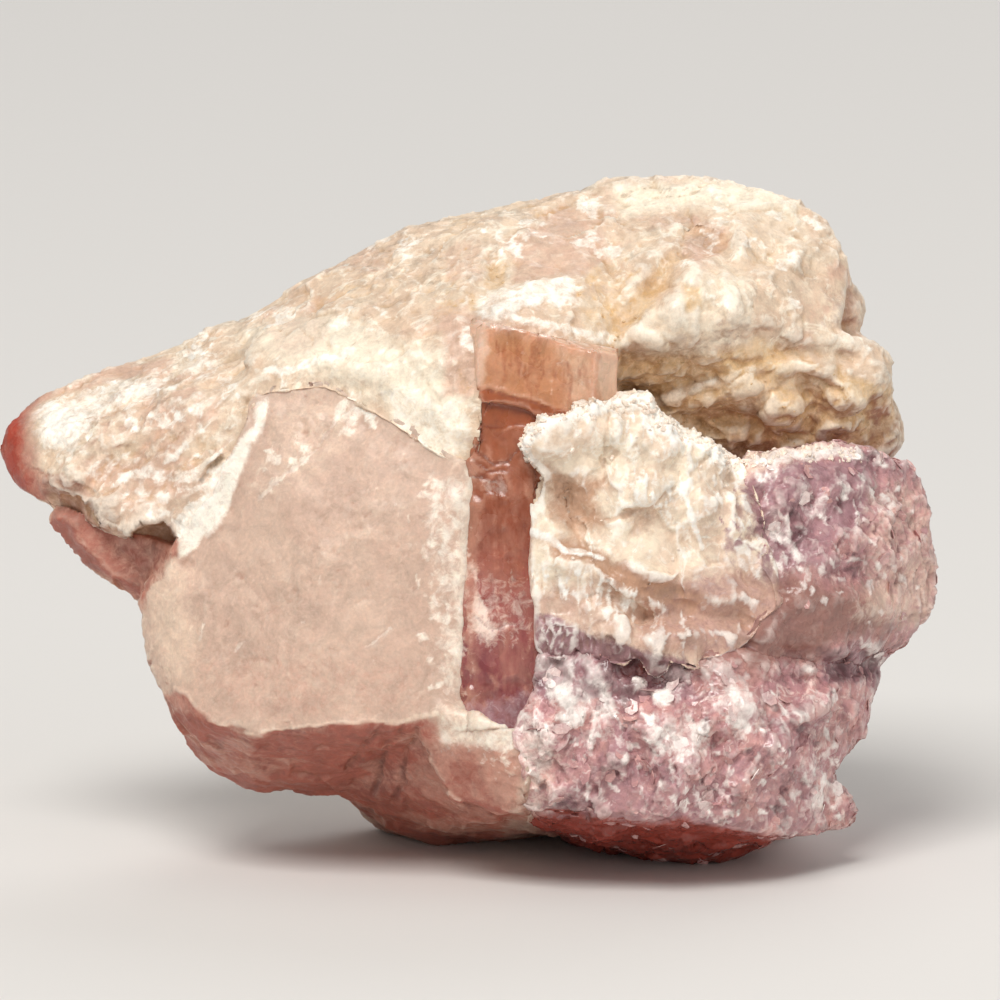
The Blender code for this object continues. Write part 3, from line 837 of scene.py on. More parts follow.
@dataclass(frozen=True)
class NodeBook:
    """Adds nodes to one tree.

    Args:
        tree: the node tree.
    """

    tree: bpy.types.NodeTree

    def add(self, kind: str, settings: dict[str, Any], sockets: dict[Any, Any], out: Any = 0) -> Wire:
        """Adds any node.

        Args:
            kind: the node's type.
            settings: its properties, set first.
            sockets: values or wires by input name or number.
            out: the output that is wanted.

        Returns:
            The output.
        """
        node = self.tree.nodes.new(kind)
        for key, value in settings.items():
            setattr(node, key, value)
        self.feed(node, sockets)
        return Wire(self, node.outputs[out])

    def feed(self, node: bpy.types.Node, sockets: dict[Any, Any]) -> None:
        """Gives a node its inputs.

        Args:
            node: the node.
            sockets: values or wires by input name or number.
        """
        for key, value in sockets.items():
            if isinstance(value, Wire):
                self.tree.links.new(value.socket, node.inputs[key])
            else:
                node.inputs[key].default_value = value

    def mix(self, share: Wire | float, first: Wire | Colour, second: Wire | Colour) -> Wire:
        """Two colours mixed."""
        ends = [c if isinstance(c, Wire) else (*c, 1.0) for c in (first, second)]
        settings = {"data_type": "RGBA", "clamp_factor": True}
        return self.add("ShaderNodeMix", settings, {0: share, 6: ends[0], 7: ends[1]}, 2)

    def mark(self, kind: Mark) -> Wire:
        """A mark that the mesh carries."""
        return self.add("ShaderNodeAttribute", {"attribute_name": kind.value}, {}, "Fac")

    def place(self, stretch: Colour = (1.0, 1.0, 1.0), turn: Colour = (0.0, 0.0, 0.0)) -> Wire:
        """Object coordinates in mm, turned and then stretched."""
        spot = self.add("ShaderNodeTexCoord", {}, {}, "Object")
        scale = tuple(1000.0 / share for share in stretch)
        turned = self.add("ShaderNodeMapping", {"vector_type": "POINT"}, {0: spot, 2: turn})
        return self.add("ShaderNodeMapping", {}, {0: turned, 3: scale})

    def noise(
        self, spot: Wire, size: float, detail: float, rough: float = 0.55, swirl: float = 0.0
    ) -> Wire:
        """Noise from 0 to 1, with swells of a size in mm, swirled by an amount."""
        sockets = {"Vector": spot, "Scale": 1.0 / size, "Detail": detail, "Roughness": rough}
        return self.add("ShaderNodeTexNoise", {}, {**sockets, "Distortion": swirl}, "Fac")

    def crooked(self, spot: Wire, size: float, reach: float) -> Wire:
        """The coordinates shaken by noise of a size, by up to a reach in mm."""
        sockets = {"Vector": spot, "Scale": 1.0 / size, "Detail": 1.0}
        shake = self.add("ShaderNodeTexNoise", {}, sockets, "Color")
        return self.vector("MULTIPLY_ADD", {0: shake, 1: (reach,) * 3, 2: spot})

    def vector(self, operation: str, sockets: dict[Any, Any]) -> Wire:
        """A Vector Math node."""
        return self.add("ShaderNodeVectorMath", {"operation": operation}, sockets)

    def first(self, colour: Wire) -> Wire:
        """A colour's red."""
        return self.add("ShaderNodeSeparateColor", {}, {0: colour})

    def scaled(self, colour: Wire, share: Wire) -> Wire:
        """A colour made lighter or darker."""
        return self.vector("SCALE", {0: colour, "Scale": share})

    def ragged(self, spot: Wire, size: float) -> Wire:
        """Strong noise from 0 to 1, for torn edges."""
        return (self.noise(spot, size, 4.0, 0.7, 0.6) * 3.0 - 1.0).clamped()

    def cells(self, spot: Wire, size: float) -> Wire:
        """A random colour for each of a pattern of grains of a size in mm."""
        return self.add("ShaderNodeTexVoronoi", {}, {"Vector": spot, "Scale": 1.0 / size}, "Color")


def paint(code: str) -> Colour:
    """A linear colour from a six-digit code."""
    parts = [int(code[i : i + 2], 16) / 255.0 for i in (0, 2, 4)]
    return tuple(p / 12.92 if p <= 0.04045 else ((p + 0.055) / 1.055) ** 2.4 for p in parts)


# --- finishes -----------------------------------------------------------------------------------


@dataclass(frozen=True)
class Tint:
    """A colour that a mark lays over a mineral.

    Args:
        mark: the mark.
        colour: the colour at full strength, as a six-digit code.
        strength: how much of it shows.
        fray: how ragged its edge is, from 0 to 0.9.
        crisp: how sharp its edge is.
    """

    mark: Mark
    colour: str
    strength: float
    fray: float
    crisp: float = 1.4


@dataclass(frozen=True)
class Finish:
    """A mineral's finish.

    Args:
        name: the material's name.
        base: its colour, as a six-digit code, like the next two.
        mottle: the colour that clouds it.
        fleck: the colour of its small grains.
        tints: what its marks lay over it, in order.
        cloud: the size of the clouds, in mm.
        grain: the size of the grains, in mm.
        rough: (lowest, highest) roughness.
        bump: (height in mm, size in mm) of its finest relief.
        glow: how much light passes under the surface.
        depth: how far that light goes, in mm.
        radius: how far each of red, green and blue goes.
        coat: the weight of a glassy coat.
        plate: (size in mm, tilt, change of tone) of its small broken faces.
        chip: the same, for the smallest.
        sand: (size in mm, change of tone) of its grain.
        dapple: how much its tone changes every few mm.
        mottled: how much of the mottle shows.
        flecked: how much of the fleck shows.
    """

    name: str
    base: str
    mottle: str
    fleck: str
    tints: tuple[Tint, ...] = ()
    cloud: float = 6.0
    grain: float = 0.5
    rough: tuple[float, float] = (0.4, 0.7)
    bump: tuple[float, float] = (0.06, 0.7)
    glow: float = 0.3
    depth: float = 1.5
    radius: Colour = (1.0, 0.6, 0.45)
    coat: float = 0.0
    plate: tuple[float, float, float] = (1.6, 0.12, 0.12)
    chip: tuple[float, float, float] = (0.5, 0.16, 0.14)
    sand: tuple[float, float] = (0.25, 0.3)
    dapple: float = 0.9
    mottled: float = 0.6
    flecked: float = 0.35

    def faces(self, book: NodeBook, spot: Wire) -> tuple[Wire, Wire]:
        """Random colours, one for each of the small broken faces and one for each of the smallest."""
        crooked = book.crooked(spot, 0.7, 0.6)
        return book.cells(crooked, self.plate[0]), book.cells(crooked, self.chip[0])

    def ground(self, book: NodeBook, spot: Wire) -> Wire:
        """The colour under the tints: clouded, and marbled with torn paler patches.

        Args:
            book: adds the nodes.
            spot: the coordinates, in mm.

        Returns:
            The colour.
        """
        cloud = book.noise(spot, self.cloud, 4.0, 0.6, 1.2)
        clouded = (cloud * 5.0 - 2.0).clamped() * self.mottled
        colour = book.mix(clouded, paint(self.base), paint(self.mottle))
        marble = book.noise(spot, self.grain, 5.0, 0.68, 1.6)
        return book.mix((marble * 8.0 - 4.3).clamped() * self.flecked, colour, paint(self.fleck))

    def colour(self, book: NodeBook, spot: Wire, faces: tuple[Wire, Wire]) -> Wire:
        """The ground colour, tinted, and changed in tone from face to face and grain to grain.

        Args:
            book: adds the nodes.
            spot: the coordinates, in mm.
            faces: the random colours of the two sizes of face.

        Returns:
            The colour.
        """
        colour = self.ground(book, spot)
        ragged = book.ragged(spot, 1.0)
        for tint in self.tints:
            held = (book.mark(tint.mark) - ragged * tint.fray) * tint.crisp
            colour = book.mix(held.clamped() * tint.strength, colour, paint(tint.colour))
        plate, chip = (book.first(face) - 0.5 for face in faces)
        calm = 1.0 - book.mark(CALM) * 0.75
        sand = (book.noise(spot, self.sand[0], 2.0, 0.7) - 0.5) * self.sand[1]
        dapple = (book.noise(spot, 2.6, 5.0, 0.7, 0.8) - 0.5) * self.dapple
        tone = (plate * self.plate[2] + chip * self.chip[2]) * calm + sand + dapple + 1.0
        return book.scaled(colour, tone)

    def height(self, book: NodeBook, spot: Wire) -> Wire:
        """The fine relief, in mm."""
        height, size = self.bump
        return book.noise(spot, size, 4.0, 0.65) * (1.0 - book.mark(CALM) * 0.5) * height

    def normal(self, book: NodeBook, spot: Wire, faces: tuple[Wire, Wire]) -> Wire:
        """The normal, with the fine relief and the tilt of the small faces.

        Args:
            book: adds the nodes.
            spot: the coordinates, in mm.
            faces: the random colours of the two sizes of face.

        Returns:
            The normal.
        """
        straight = book.add("ShaderNodeNewGeometry", {}, {}, "Normal")
        calm = 1.0 - book.mark(CALM) * 0.75
        for face, (_, tilt, _) in zip(faces, (self.plate, self.chip)):
            lean = book.vector("MULTIPLY_ADD", {0: face, 1: (2.0 * tilt,) * 3, 2: (-tilt,) * 3})
            straight = book.vector("ADD", {0: straight, 1: book.scaled(lean, calm)})
        leaning = book.vector("NORMALIZE", {0: straight})
        sockets = {"Distance": MM, "Height": self.height(book, spot), "Normal": leaning}
        return book.add("ShaderNodeBump", {}, sockets)

    def roughness(self, faces: tuple[Wire, Wire]) -> Wire:
        """The roughness, which changes from face to face."""
        low, high = self.rough
        return faces[0].book.first(faces[0]) * (high - low) + low

    def material(self) -> bpy.types.Material:
        """Makes the material.

        Returns:
            The material.
        """
        material = bpy.data.materials.new(self.name)
        material.use_nodes = True
        book = NodeBook(material.node_tree)
        spot = book.place()
        faces = self.faces(book, spot)
        sockets = {
            "Base Color": self.colour(book, spot, faces), "Roughness": self.roughness(faces),
            "Normal": self.normal(book, spot, faces), "Subsurface Weight": self.glow,
            "Subsurface Scale": self.depth * MM, "Subsurface Radius": self.radius,
            "IOR": STONE_IOR, "Coat Weight": self.coat, "Coat Roughness": COAT_ROUGHNESS,
        }
        book.feed(material.node_tree.nodes["Principled BSDF"], sockets)
        return material


@dataclass(frozen=True)
class CrystalFinish(Finish):
    """The tourmaline's finish: a colour that changes up the prism, and fine lines along it.

    Args:
        stops: (height up the prism from 0 to 1, colour as a six-digit code).
        line: the width of the lines along the prism, in mm.
        tilt: how far the prism leans to the right, in radians.
    """

    stops: tuple[tuple[float, str], ...] = ()
    line: float = 0.22
    tilt: float = 0.04

    def ground(self, book: NodeBook, spot: Wire) -> Wire:
        """The zoned colour, clouded and faintly streaked along the prism."""
        streak = book.noise(self.along(book), 0.8, 3.0, 0.6)
        cloud = book.noise(spot, self.cloud, 4.0, 0.6, 0.8)
        rise = book.mark(RISE) + (cloud - 0.5) * 0.1
        zoned = book.add("ShaderNodeValToRGB", {}, {0: rise}, "Color")
        stops = zoned.socket.node.color_ramp.elements
        while len(stops) < len(self.stops):
            stops.new(0.5)
        for stop, (position, colour) in zip(stops, self.stops):
            stop.position = position
            stop.color = (*paint(colour), 1.0)
        return book.mix((streak * 1.5 + cloud * 1.5 - 1.2).clamped() * 0.45, zoned, paint(self.mottle))

    def along(self, book: NodeBook) -> Wire:
        """Coordinates drawn out along the prism."""
        return book.place(stretch=(1.0, 1.0, 12.0), turn=(math.radians(-10.0), self.tilt, 0.0))

    def height(self, book: NodeBook, spot: Wire) -> Wire:
        """The relief: lines along the prism over the usual grain."""
        lines = book.noise(self.along(book), self.line, 2.0, 0.5) * 0.02
        return super().height(book, spot) + lines


# --- scattered small crystals -------------------------------------------------------------------


class Shape(Enum):
    """The form of one scattered crystal."""

    PLATE = "plate"
    GRAIN = "grain"


@dataclass(frozen=True)
class Scatter:
    """Small crystals strewn over a skin by Geometry Nodes, where one of its marks allows.

    Args:
        name: the piece's name.
        shape: the form of each crystal.
        density: how many there are on each square mm.
        size: (smallest, largest) radius, in mm.
        thin: thickness as a share of the radius.
        tilt: how far each may lean off the surface, in radians.
        seed: picks the places.
        where: the mark that allows them.
    """

    name: str
    shape: Shape
    density: float
    size: tuple[float, float]
    thin: float
    tilt: float
    seed: int
    where: Mark = FLAKE

    def tree(self, material: bpy.types.Material) -> tuple[bpy.types.NodeTree, dict[str, float]]:
        """Builds the node tree.

        Args:
            material: what every crystal is given.

        Returns:
            The tree, and its inputs' values by socket identifier.
        """
        tree = bpy.data.node_groups.new(self.name, "GeometryNodeTree")
        book = NodeBook(tree)
        tree.interface.new_socket("Skin", in_out="INPUT", socket_type="NodeSocketGeometry")
        values = {
            "Density": self.density / (MM * MM), "Smallest": self.size[0] * MM,
            "Largest": self.size[1] * MM, "Thinness": self.thin, "Tilt": self.tilt,
        }
        sockets = {
            name: tree.interface.new_socket(name, in_out="INPUT", socket_type="NodeSocketFloat")
            for name in values
        }
        tree.interface.new_socket("Crystals", in_out="OUTPUT", socket_type="NodeSocketGeometry")
        entry = tree.nodes.new("NodeGroupInput")
        given = {name: Wire(book, entry.outputs[name]) for name in ("Skin", *values)}
        kind = {"data_type": "FLOAT"}
        allowed = book.add("GeometryNodeInputNamedAttribute", kind, {"Name": self.where.value})
        sown = {"Mesh": given["Skin"], "Density": allowed * given["Density"], "Seed": self.seed}
        points = book.add("GeometryNodeDistributePointsOnFaces", {}, sown, "Points")
        upright = Wire(book, points.socket.node.outputs["Rotation"])
        bounds = {2: given["Smallest"], 3: given["Largest"], "Seed": self.seed + 2}
        size = book.add("FunctionNodeRandomValue", kind, bounds, 1)
        kind = {"data_type": "FLOAT_VECTOR"}
        bounds = {0: (-1.0, -1.0, -9.0), 1: (1.0, 1.0, 9.0), "Seed": self.seed + 1}
        lean = book.scaled(book.add("FunctionNodeRandomValue", kind, bounds), given["Tilt"])
        turn = book.add("FunctionNodeEulerToRotation", {}, {0: lean})
        turned = book.add("FunctionNodeRotateRotation", {"rotation_space": "LOCAL"}, {0: upright, 1: turn})
        bounds = {0: (0.6, 0.6, 0.6), 1: (1.3, 1.0, 1.2), "Seed": self.seed + 3}
        scale = book.scaled(book.add("FunctionNodeRandomValue", kind, bounds), size)
        one = self.crystal(book, given["Thinness"])
        each = {"Points": points, "Instance": one, "Rotation": turned, "Scale": scale}
        placed = book.add("GeometryNodeInstanceOnPoints", {}, each)
        whole = book.add("GeometryNodeRealizeInstances", {}, {0: placed})
        done = book.add("GeometryNodeSetMaterial", {}, {0: whole, "Material": material})
        leave = tree.nodes.new("NodeGroupOutput")
        tree.links.new(done.socket, leave.inputs[0])
        return tree, {sockets[name].identifier: value for name, value in values.items()}

    def crystal(self, book: NodeBook, thin: Wire) -> Wire:
        """One crystal of radius 1.

        Args:
            book: adds the nodes.
            thin: its thickness, as a share of its radius.

        Returns:
            The crystal's mesh.
        """
        if self.shape is Shape.PLATE:
            sockets = {"Vertices": 6, "Radius": 1.0, "Depth": thin}
            return book.add("GeometryNodeMeshCylinder", {}, sockets, "Mesh")
        ball = book.add("GeometryNodeMeshIcoSphere", {}, {"Radius": 1.0, "Subdivisions": 1}, "Mesh")
        flat = book.add("ShaderNodeCombineXYZ", {}, {0: 1.0, 1: 0.8, 2: thin})
        return book.add("GeometryNodeTransform", {}, {"Geometry": ball, "Scale": flat})

    def strew(self, skin: bpy.types.Object, finish: Finish, slot: str) -> bpy.types.Object:
        """Strews the crystals over a skin.

        Args:
            skin: the finished skin.
            finish: the crystals' finish.
            slot: the record's material slot; not used.

        Returns:
            The piece.
        """
        piece = new_object(self.name, skin.data.copy())
        tree, values = self.tree(finish.material())
        modifier = piece.modifiers.new("strew", "NODES")
        modifier.node_group = tree
        for identifier, value in values.items():
            modifier[identifier] = value
        keep_result(piece)
        points = read(piece.data.vertices, "co")
        points[:, 2] = np.maximum(points[:, 2], 0.0)
        piece.data.vertices.foreach_set("co", points.ravel())
        piece.data.update()
        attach(piece, "root")
        LOG.info("%s: %d faces", piece.name, len(piece.data.polygons))
        return piece


# --- what several minerals share ----------------------------------------------------------------

BAND: Path = (
    (640, 588), (700, 575), (765, 562), (830, 566), (885, 585), (890, 640), (845, 640), (820, 655),
    (760, 668), (700, 655), (655, 640),
)

SEAMS: tuple[Feature, ...] = (
    Patch(4, {WHITE_AND_GLINT: 1}, ((256, 402), (268, 398), (262, 430), (250, 452), (240, 480), (232, 500), (212, 530),
         (196, 548), (181, 562), (176, 548), (172, 520), (190, 505), (205, 488), (214, 468), (236, 446),
         (250, 425)), -0.12),
    Stroke(4, {WHITE_AND_GLINT: 0.8}, ((268, 372), (300, 368), (335, 358), (352, 350)), -0.08),
    Stroke(3.5, {WHITE_AND_GLINT: -1, SHADE: 0.5}, ((222, 455), (209, 468), (197, 482)), 0.35),
    Patch(10, {ROSE: 1, WHITE_AND_GLINT: -0.8, PALE: -0.8}, ((444, 318), (490, 322), (487, 388), (470, 400),
         (446, 392))),
)

MEETING: tuple[Feature, ...] = (
    Patch(26, {ROSE: 1, CALM: 0.5, LILAC: 0.35, SHADE: 0.15}, BAND),
    Patch(5, {LILAC: 1, WHITE_AND_GLINT: -1, PALE: -1, ROSE: -0.6}, ((528, 612), (570, 626), (606, 641), (643, 652),
         (690, 660), (700, 700), (528, 700))),
    Patch(10, {SHADE: 0.7}, ((590, 628), (640, 648), (690, 658), (690, 690), (640, 702), (598, 690)), 0.1),
    Patch(16, {LILAC: 1, PALE: -1, ROSE: -0.7}, ((742, 478), (800, 458), (868, 458), (856, 520), (815, 560),
         (765, 575))),
    Patch(20, {LILAC: 0.2, PALE: -0.3, ROSE: -0.5}, ((850, 462), (900, 462), (925, 500), (925, 560),
         (860, 600), (800, 580))),
    Patch(12, {SHADE: 0.3}, ((742, 486), (790, 470), (800, 545), (765, 560), (745, 540))),
    Patch(12, {ROSE: 0.4}, ((690, 650), (765, 655), (765, 700), (690, 700))),
    Flecks(2.6, {LILAC: 0.8, WHITE_AND_GLINT: -0.9}, ((715, 480), (765, 475), (770, 570), (725, 575)), 0.06, 40,
        (8, 28), (70, 25), 27),
    Flecks(2.4, {WHITE_AND_GLINT: 0.75, LILAC: -0.6}, ((730, 470), (785, 462), (800, 560), (745, 580)), -0.06, 44,
        (10, 34), (70, 25), 28),
)


@dataclass
class Mineral:
    """One mineral of the specimen: a fine skin over its CAD node, with relief, marks and finish.

    Args:
        node: its CAD node; the piece's name is the same with capitals.
        slot: the record's material slot.
        finish: its finish.
        features: what the chart shows on it.
        voxel: the skin's grain, in mm.
        calm: how many times its facets are smoothed.
        levels: (neighbour, highest step to it that is levelled, in mm).
        weathering: how deep a hollow counts as a full crevice, in mm.
        cuts: the corners broken off it and the hollows filled up.
        healed: the path along which it is smoothed.
        finer: whether the front's grain is halved.
        swell: how far the skin is let out first, so that neighbours close up, in mm.
        evenness: how smooth its smooth places are, from 0 to 1.
    """

    node: str
    slot: str
    finish: Finish
    features: tuple[Feature, ...]
    voxel: float
    calm: int
    levels: tuple[tuple[str, float], ...]
    weathering: float
    cuts: tuple[Cut, ...] = ()
    healed: Path = ()
    finer: bool = True
    swell: float = 0.15
    evenness: float = 0.75

    def evened(self, skin: Skin) -> Array:
        """How smooth the mineral is at each vertex, from 0 to 1, which changes from place to place.

        Args:
            skin: the skin.

        Returns:
            The smoothness.
        """
        calm = self.evenness * ramp(swells(skin.points, 8.0, 3, 401), -0.3, 0.3)
        for feature in self.features:
            amount = feature.marks.get(CALM, 0.0)
            if amount > 0.0:
                calm = np.maximum(calm, amount * feature.weight(skin.chart) * ramp(skin.facing, 0.0, 0.3))
        return calm

    def relief(self, skin: Skin, calm: Array) -> None:
        """Gives the skin the mineral's own surface, less of it where it is calm.

        Args:
            skin: the skin.
            calm: how smooth each vertex is, from 0 to 1.
        """

    def stain(self, skin: Skin) -> None:
        """Adds the marks that follow the surface rather than the chart.

        Args:
            skin: the skin.
        """

    def strew(self, piece: bpy.types.Object) -> list[bpy.types.Object]:
        """Strews small crystals over the finished skin."""
        return []

    def under(self, skin: Skin) -> Array:
        """How much each vertex looks down, from 0 to 1, with a ragged edge; the quartz, feldspar and
        lepidolite paint red-brown shade by it.
        """
        shake = swells(skin.points, 4.0, 3, 811) * 0.18
        return ramp(-skin.normals[:, 2] + shake, 0.1, 0.6)

    def teeth(self, skin: Skin, points: Array, path: Path) -> Array:
        """The height in mm of small teeth along a rim, worked out on shaken points."""
        return Stroke(TOOTHED, {}, path).weight(skin.chart) * (TEETH.height(points) + 0.12)

    def area(self, skin: Skin, path: Path, soft: float = 12.0) -> Array:
        """How much each forward-facing vertex lies in an area of the chart, from 0 to 1."""
        weight = Patch(soft, {}, path).weight(skin.frayed(6.0, 4.0, 71))
        return weight * ramp(skin.facing, -0.1, 0.2)

    def build(self) -> list[bpy.types.Object]:
        """Builds and dresses the mineral.

        Returns:
            Its pieces.
        """
        skin = Skin(self)
        skin.cut(self.cuts)
        skin.heal(self.healed)
        calm = self.evened(skin)
        self.relief(skin, calm)
        skin.draw(self.features)
        skin.weather(self.weathering)
        skin.marks[CALM] = np.maximum(skin.mark(CALM), calm)
        self.stain(skin)
        piece = skin.finish(self.finish, self.slot)
        return [piece, *self.strew(piece)]


# --- the quartz ---------------------------------------------------------------------------------

QUARTZ_FINISH = Finish(
    "Rosy_Quartz", "CDAF9D", "D5BAA7", "DCC5B3",
    tints=(
        Tint(PALE, "EAD3BC", 0.9, 0.4), Tint(ROSE, "C4907E", 0.9, 0.4), Tint(RED_AND_UNDERSHADE, "A65C4C", 0.95, 0.45),
        Tint(WHITE_AND_GLINT, "FBF3E6", 1, 0.6), Tint(HOLLOW_SHADE, "A9725D", 0.4, 0.5), Tint(EDGE, "F0DFCD", 0.5, 0.5),
        Tint(SHADE, "6B3A30", 0.8, 0.4),
    ),
    cloud=9.0, grain=1.8, rough=(0.38, 0.62), bump=(0.05, 0.5), plate=(3.0, 0.02, 0.03),
    chip=(0.4, 0.08, 0.06), sand=(0.3, 0.3), dapple=0.8, flecked=0.4, glow=0.35, depth=2.0,
)

QUARTZ_FEATURES: tuple[Feature, ...] = (
    *SEAMS,
    Patch(22, {PALE: 0.6}, ((140, 560), (185, 555), (200, 640), (200, 690), (165, 690), (145, 640))),
    Patch(30, {ROSE: 0.3}, ((180, 645), (330, 640), (430, 660), (440, 720), (250, 735), (180, 695))),
    # Painted red-brown shade on the underside, over rose.
    Patch(6, {RED_AND_UNDERSHADE: 0.75, ROSE: 1}, ((160, 690), (178, 692), (222, 729), (250, 735), (330, 724), (400, 726),
         (432, 716), (450, 745), (500, 745), (520, 780), (500, 850), (150, 850))),
    Patch(14, {RED_AND_UNDERSHADE: -0.4}, ((230, 742), (300, 735), (310, 765), (240, 770))),
    Patch(16, {ROSE: -0.7, RED_AND_UNDERSHADE: -1, PALE: 0.6, WHITE_AND_GLINT: 0.65}, ((430, 708), (500, 712), (512, 742),
         (480, 756), (440, 750))),
    Patch(12, {RED_AND_UNDERSHADE: -0.65, ROSE: 0.9}, ((425, 748), (525, 748), (520, 815), (440, 815))),
    Flecks(2.6, {WHITE_AND_GLINT: 0.6}, ((470, 722), (530, 716), (530, 800), (480, 780)), -0.08, 50, (6, 20), (50, 50),
        29),
    # The lump under the wing: its own brownish rose, darkened with painted shade from the wing's overhang.
    Patch(5, {RED_AND_UNDERSHADE: 0.65, ROSE: 0.9, CALM: 0.7}, ((50, 505), (186, 505), (176, 552), (146, 598),
         (50, 600))),
    Stroke(9, {RED_AND_UNDERSHADE: 0.7}, ((56, 530), (85, 575), (142, 602))),
    Patch(12, {SHADE: 0.35}, ((120, 545), (178, 552), (150, 600), (120, 590))),
    Patch(16, {WHITE_AND_GLINT: 0.45}, ((425, 470), (475, 470), (472, 700), (440, 700), (428, 620))),
    Flecks(4, {WHITE_AND_GLINT: 0.75}, ((400, 470), (468, 460), (468, 690), (430, 700), (410, 600)), -0.07, 46,
        (8, 26), (60, 50), 3),
    Flecks(1.6, {WHITE_AND_GLINT: 0.45}, ((240, 400), (440, 430), (440, 680), (200, 680), (190, 560)), 0.06, 70,
        (3, 9), (70, 60), 4),
    Patch(26, {PALE: 0.4}, ((262, 398), (345, 392), (385, 418), (335, 470), (262, 500))),
    Flecks(4, {WHITE_AND_GLINT: 0.8}, ((255, 450), (300, 436), (310, 480), (262, 500)), -0.05, 16, (10, 24), (-48, 22),
        5),
    Flecks(5, {WHITE_AND_GLINT: 1}, ((332, 392), (368, 396), (378, 420), (350, 444)), -0.06, 12, (10, 26), (-45, 22),
        6),
    Stroke(2.2, {WHITE_AND_GLINT: 0.6}, ((260, 500), (305, 452), (350, 405)), 0.15),
    Stroke(1.6, {WHITE_AND_GLINT: 0.7}, ((365, 645), (380, 634), (395, 625)), 0.1),
    Stroke(1.6, {WHITE_AND_GLINT: 0.7}, ((196, 640), (203, 622)), 0.1),
    Stroke(1.6, {WHITE_AND_GLINT: 0.6}, ((236, 650), (245, 640)), 0.1),
    Stroke(3, {PALE: 0.6}, ((178, 692), (220, 728), (250, 734), (330, 723), (400, 725), (430, 712)), -0.1),
    Stroke(3, {SHADE: 0.3}, ((372, 790), (385, 752), (402, 728)), 0.25),
    Stroke(3, {SHADE: 0.3}, ((395, 795), (404, 760), (415, 730)), 0.25),
    Stroke(3, {SHADE: 0.2}, ((350, 770), (365, 745), (380, 728)), 0.2),
)

QUARTZ_CUTS = (
    Cut(((60, 516), (90, 500), (186, 508), (182, 552), (148, 590), (112, 584), (74, 548)), 4.6, True),
)


@dataclass
class QuartzBody(Mineral):
    """The matt, rosy quartz on the left, smooth in front and broken underneath.

    Args:
        block: its coarse broken faces.
        chip: its fine ones.
    """

    block: Facets = Facets(5.0, 0.12, 31, 41, 0.15)
    chip: Facets = Facets(1.8, 0.09, 35, 45, 0.15)

    def relief(self, skin: Skin, calm: Array) -> None:
        """A smooth, faintly rolling face over a broken underside."""
        points = shaken(skin.points, 3.0, 0.6, 11)
        forward = ramp(skin.facing, 0.3, 0.75)
        broken = self.block.height(points) + self.chip.height(points)
        skin.push(swells(points, 8.0, 3, 21) * 0.2 + (1.0 - 0.9 * forward) * broken)
        pits = np.clip(swells(skin.points, 1.6, 3, 55, 0.6) - 0.35, 0.0, 1.0) * 0.25
        rough = swells(skin.points, 1.1, 3, 51, 0.65) * (0.035 + 0.04 * (1.0 - forward))
        skin.push(rough - pits * (1.0 - calm))

    def stain(self, skin: Skin) -> None:
        """Paints red-brown shade, blotched and darker in places, on what looks down, and clouds the back
        with rose.
        """
        blotch = ramp(swells(skin.points, 4.5, 5, 63, 0.6), -0.1, 0.45)
        murk = ramp(swells(skin.points, 3.5, 5, 69, 0.6), 0.0, 0.5)
        # Painted red-brown shade on what looks down, on top of the drawn red-brown.
        red_and_undershade = np.clip(skin.mark(RED_AND_UNDERSHADE) + 0.7 * self.under(skin), 0.0, 1.0)
        skin.marks[RED_AND_UNDERSHADE] = red_and_undershade * (1.0 - 0.45 * blotch)
        skin.add(SHADE, 0.4 * murk * red_and_undershade)
        skin.marks[EDGE] = skin.mark(EDGE) * (1.0 - 0.8 * skin.marks[RED_AND_UNDERSHADE])
        skin.marks[WHITE_AND_GLINT] = skin.mark(WHITE_AND_GLINT) * (1.0 - skin.marks[RED_AND_UNDERSHADE])
        cloud = ramp(swells(skin.points, 12.0, 3, 61), 0.0, 0.8) * (1.0 - ramp(skin.facing, 0.2, 0.6))
        skin.add(ROSE, 0.5 * cloud)


# --- the feldspar -------------------------------------------------------------------------------

CAP_FINISH = Finish(
    "Cream_Feldspar", "E0CBB3", "D2B49B", "F6ECDA",
    tints=(
        Tint(PALE, "F8EDD8", 0.9, 0.4), Tint(ROSE, "D0AC97", 0.85, 0.5), Tint(CLAY, "DDB886", 0.9, 0.5),
        Tint(RED_AND_UNDERSHADE, "94604C", 0.9, 0.5), Tint(EDGE, "FBF4E6", 0.5, 0.6), Tint(HOLLOW_SHADE, "BE935E", 0.35, 0.5),
        Tint(WHITE_AND_GLINT, "FFFAF0", 1, 0.6), Tint(TIP_GLOW, "A43E2B", 1, 0.2, 1.1), Tint(SHADE, "5B3A28", 0.8, 0.4),
    ),
    cloud=6.0, grain=3.0, rough=(0.3, 0.62), bump=(0.08, 0.6), plate=(1.7, 0.12, 0.09),
    chip=(0.55, 0.18, 0.09), sand=(0.28, 0.35), mottled=0.7, flecked=0.8, glow=0.0,
)

CAP_CUTS = (
    Cut(((40, 519), (84, 507), (90, 500), (104, 530), (122, 541), (138, 526), (164, 519), (186, 556),
         (150, 620), (40, 620)), 5.2),
)

TIP: Path = ((-20, 370), (48, 375), (34, 430), (44, 510), (-20, 520))

POCKET: Path = (
    (612, 352), (640, 350), (672, 348), (712, 352), (760, 342), (800, 345), (850, 372), (893, 385),
    (900, 440), (850, 454), (800, 458), (755, 458), (715, 448), (640, 408), (616, 400),
)

WING: Path = ((0, 395), (120, 378), (240, 330), (262, 380), (215, 480), (180, 560), (90, 520), (20, 490))

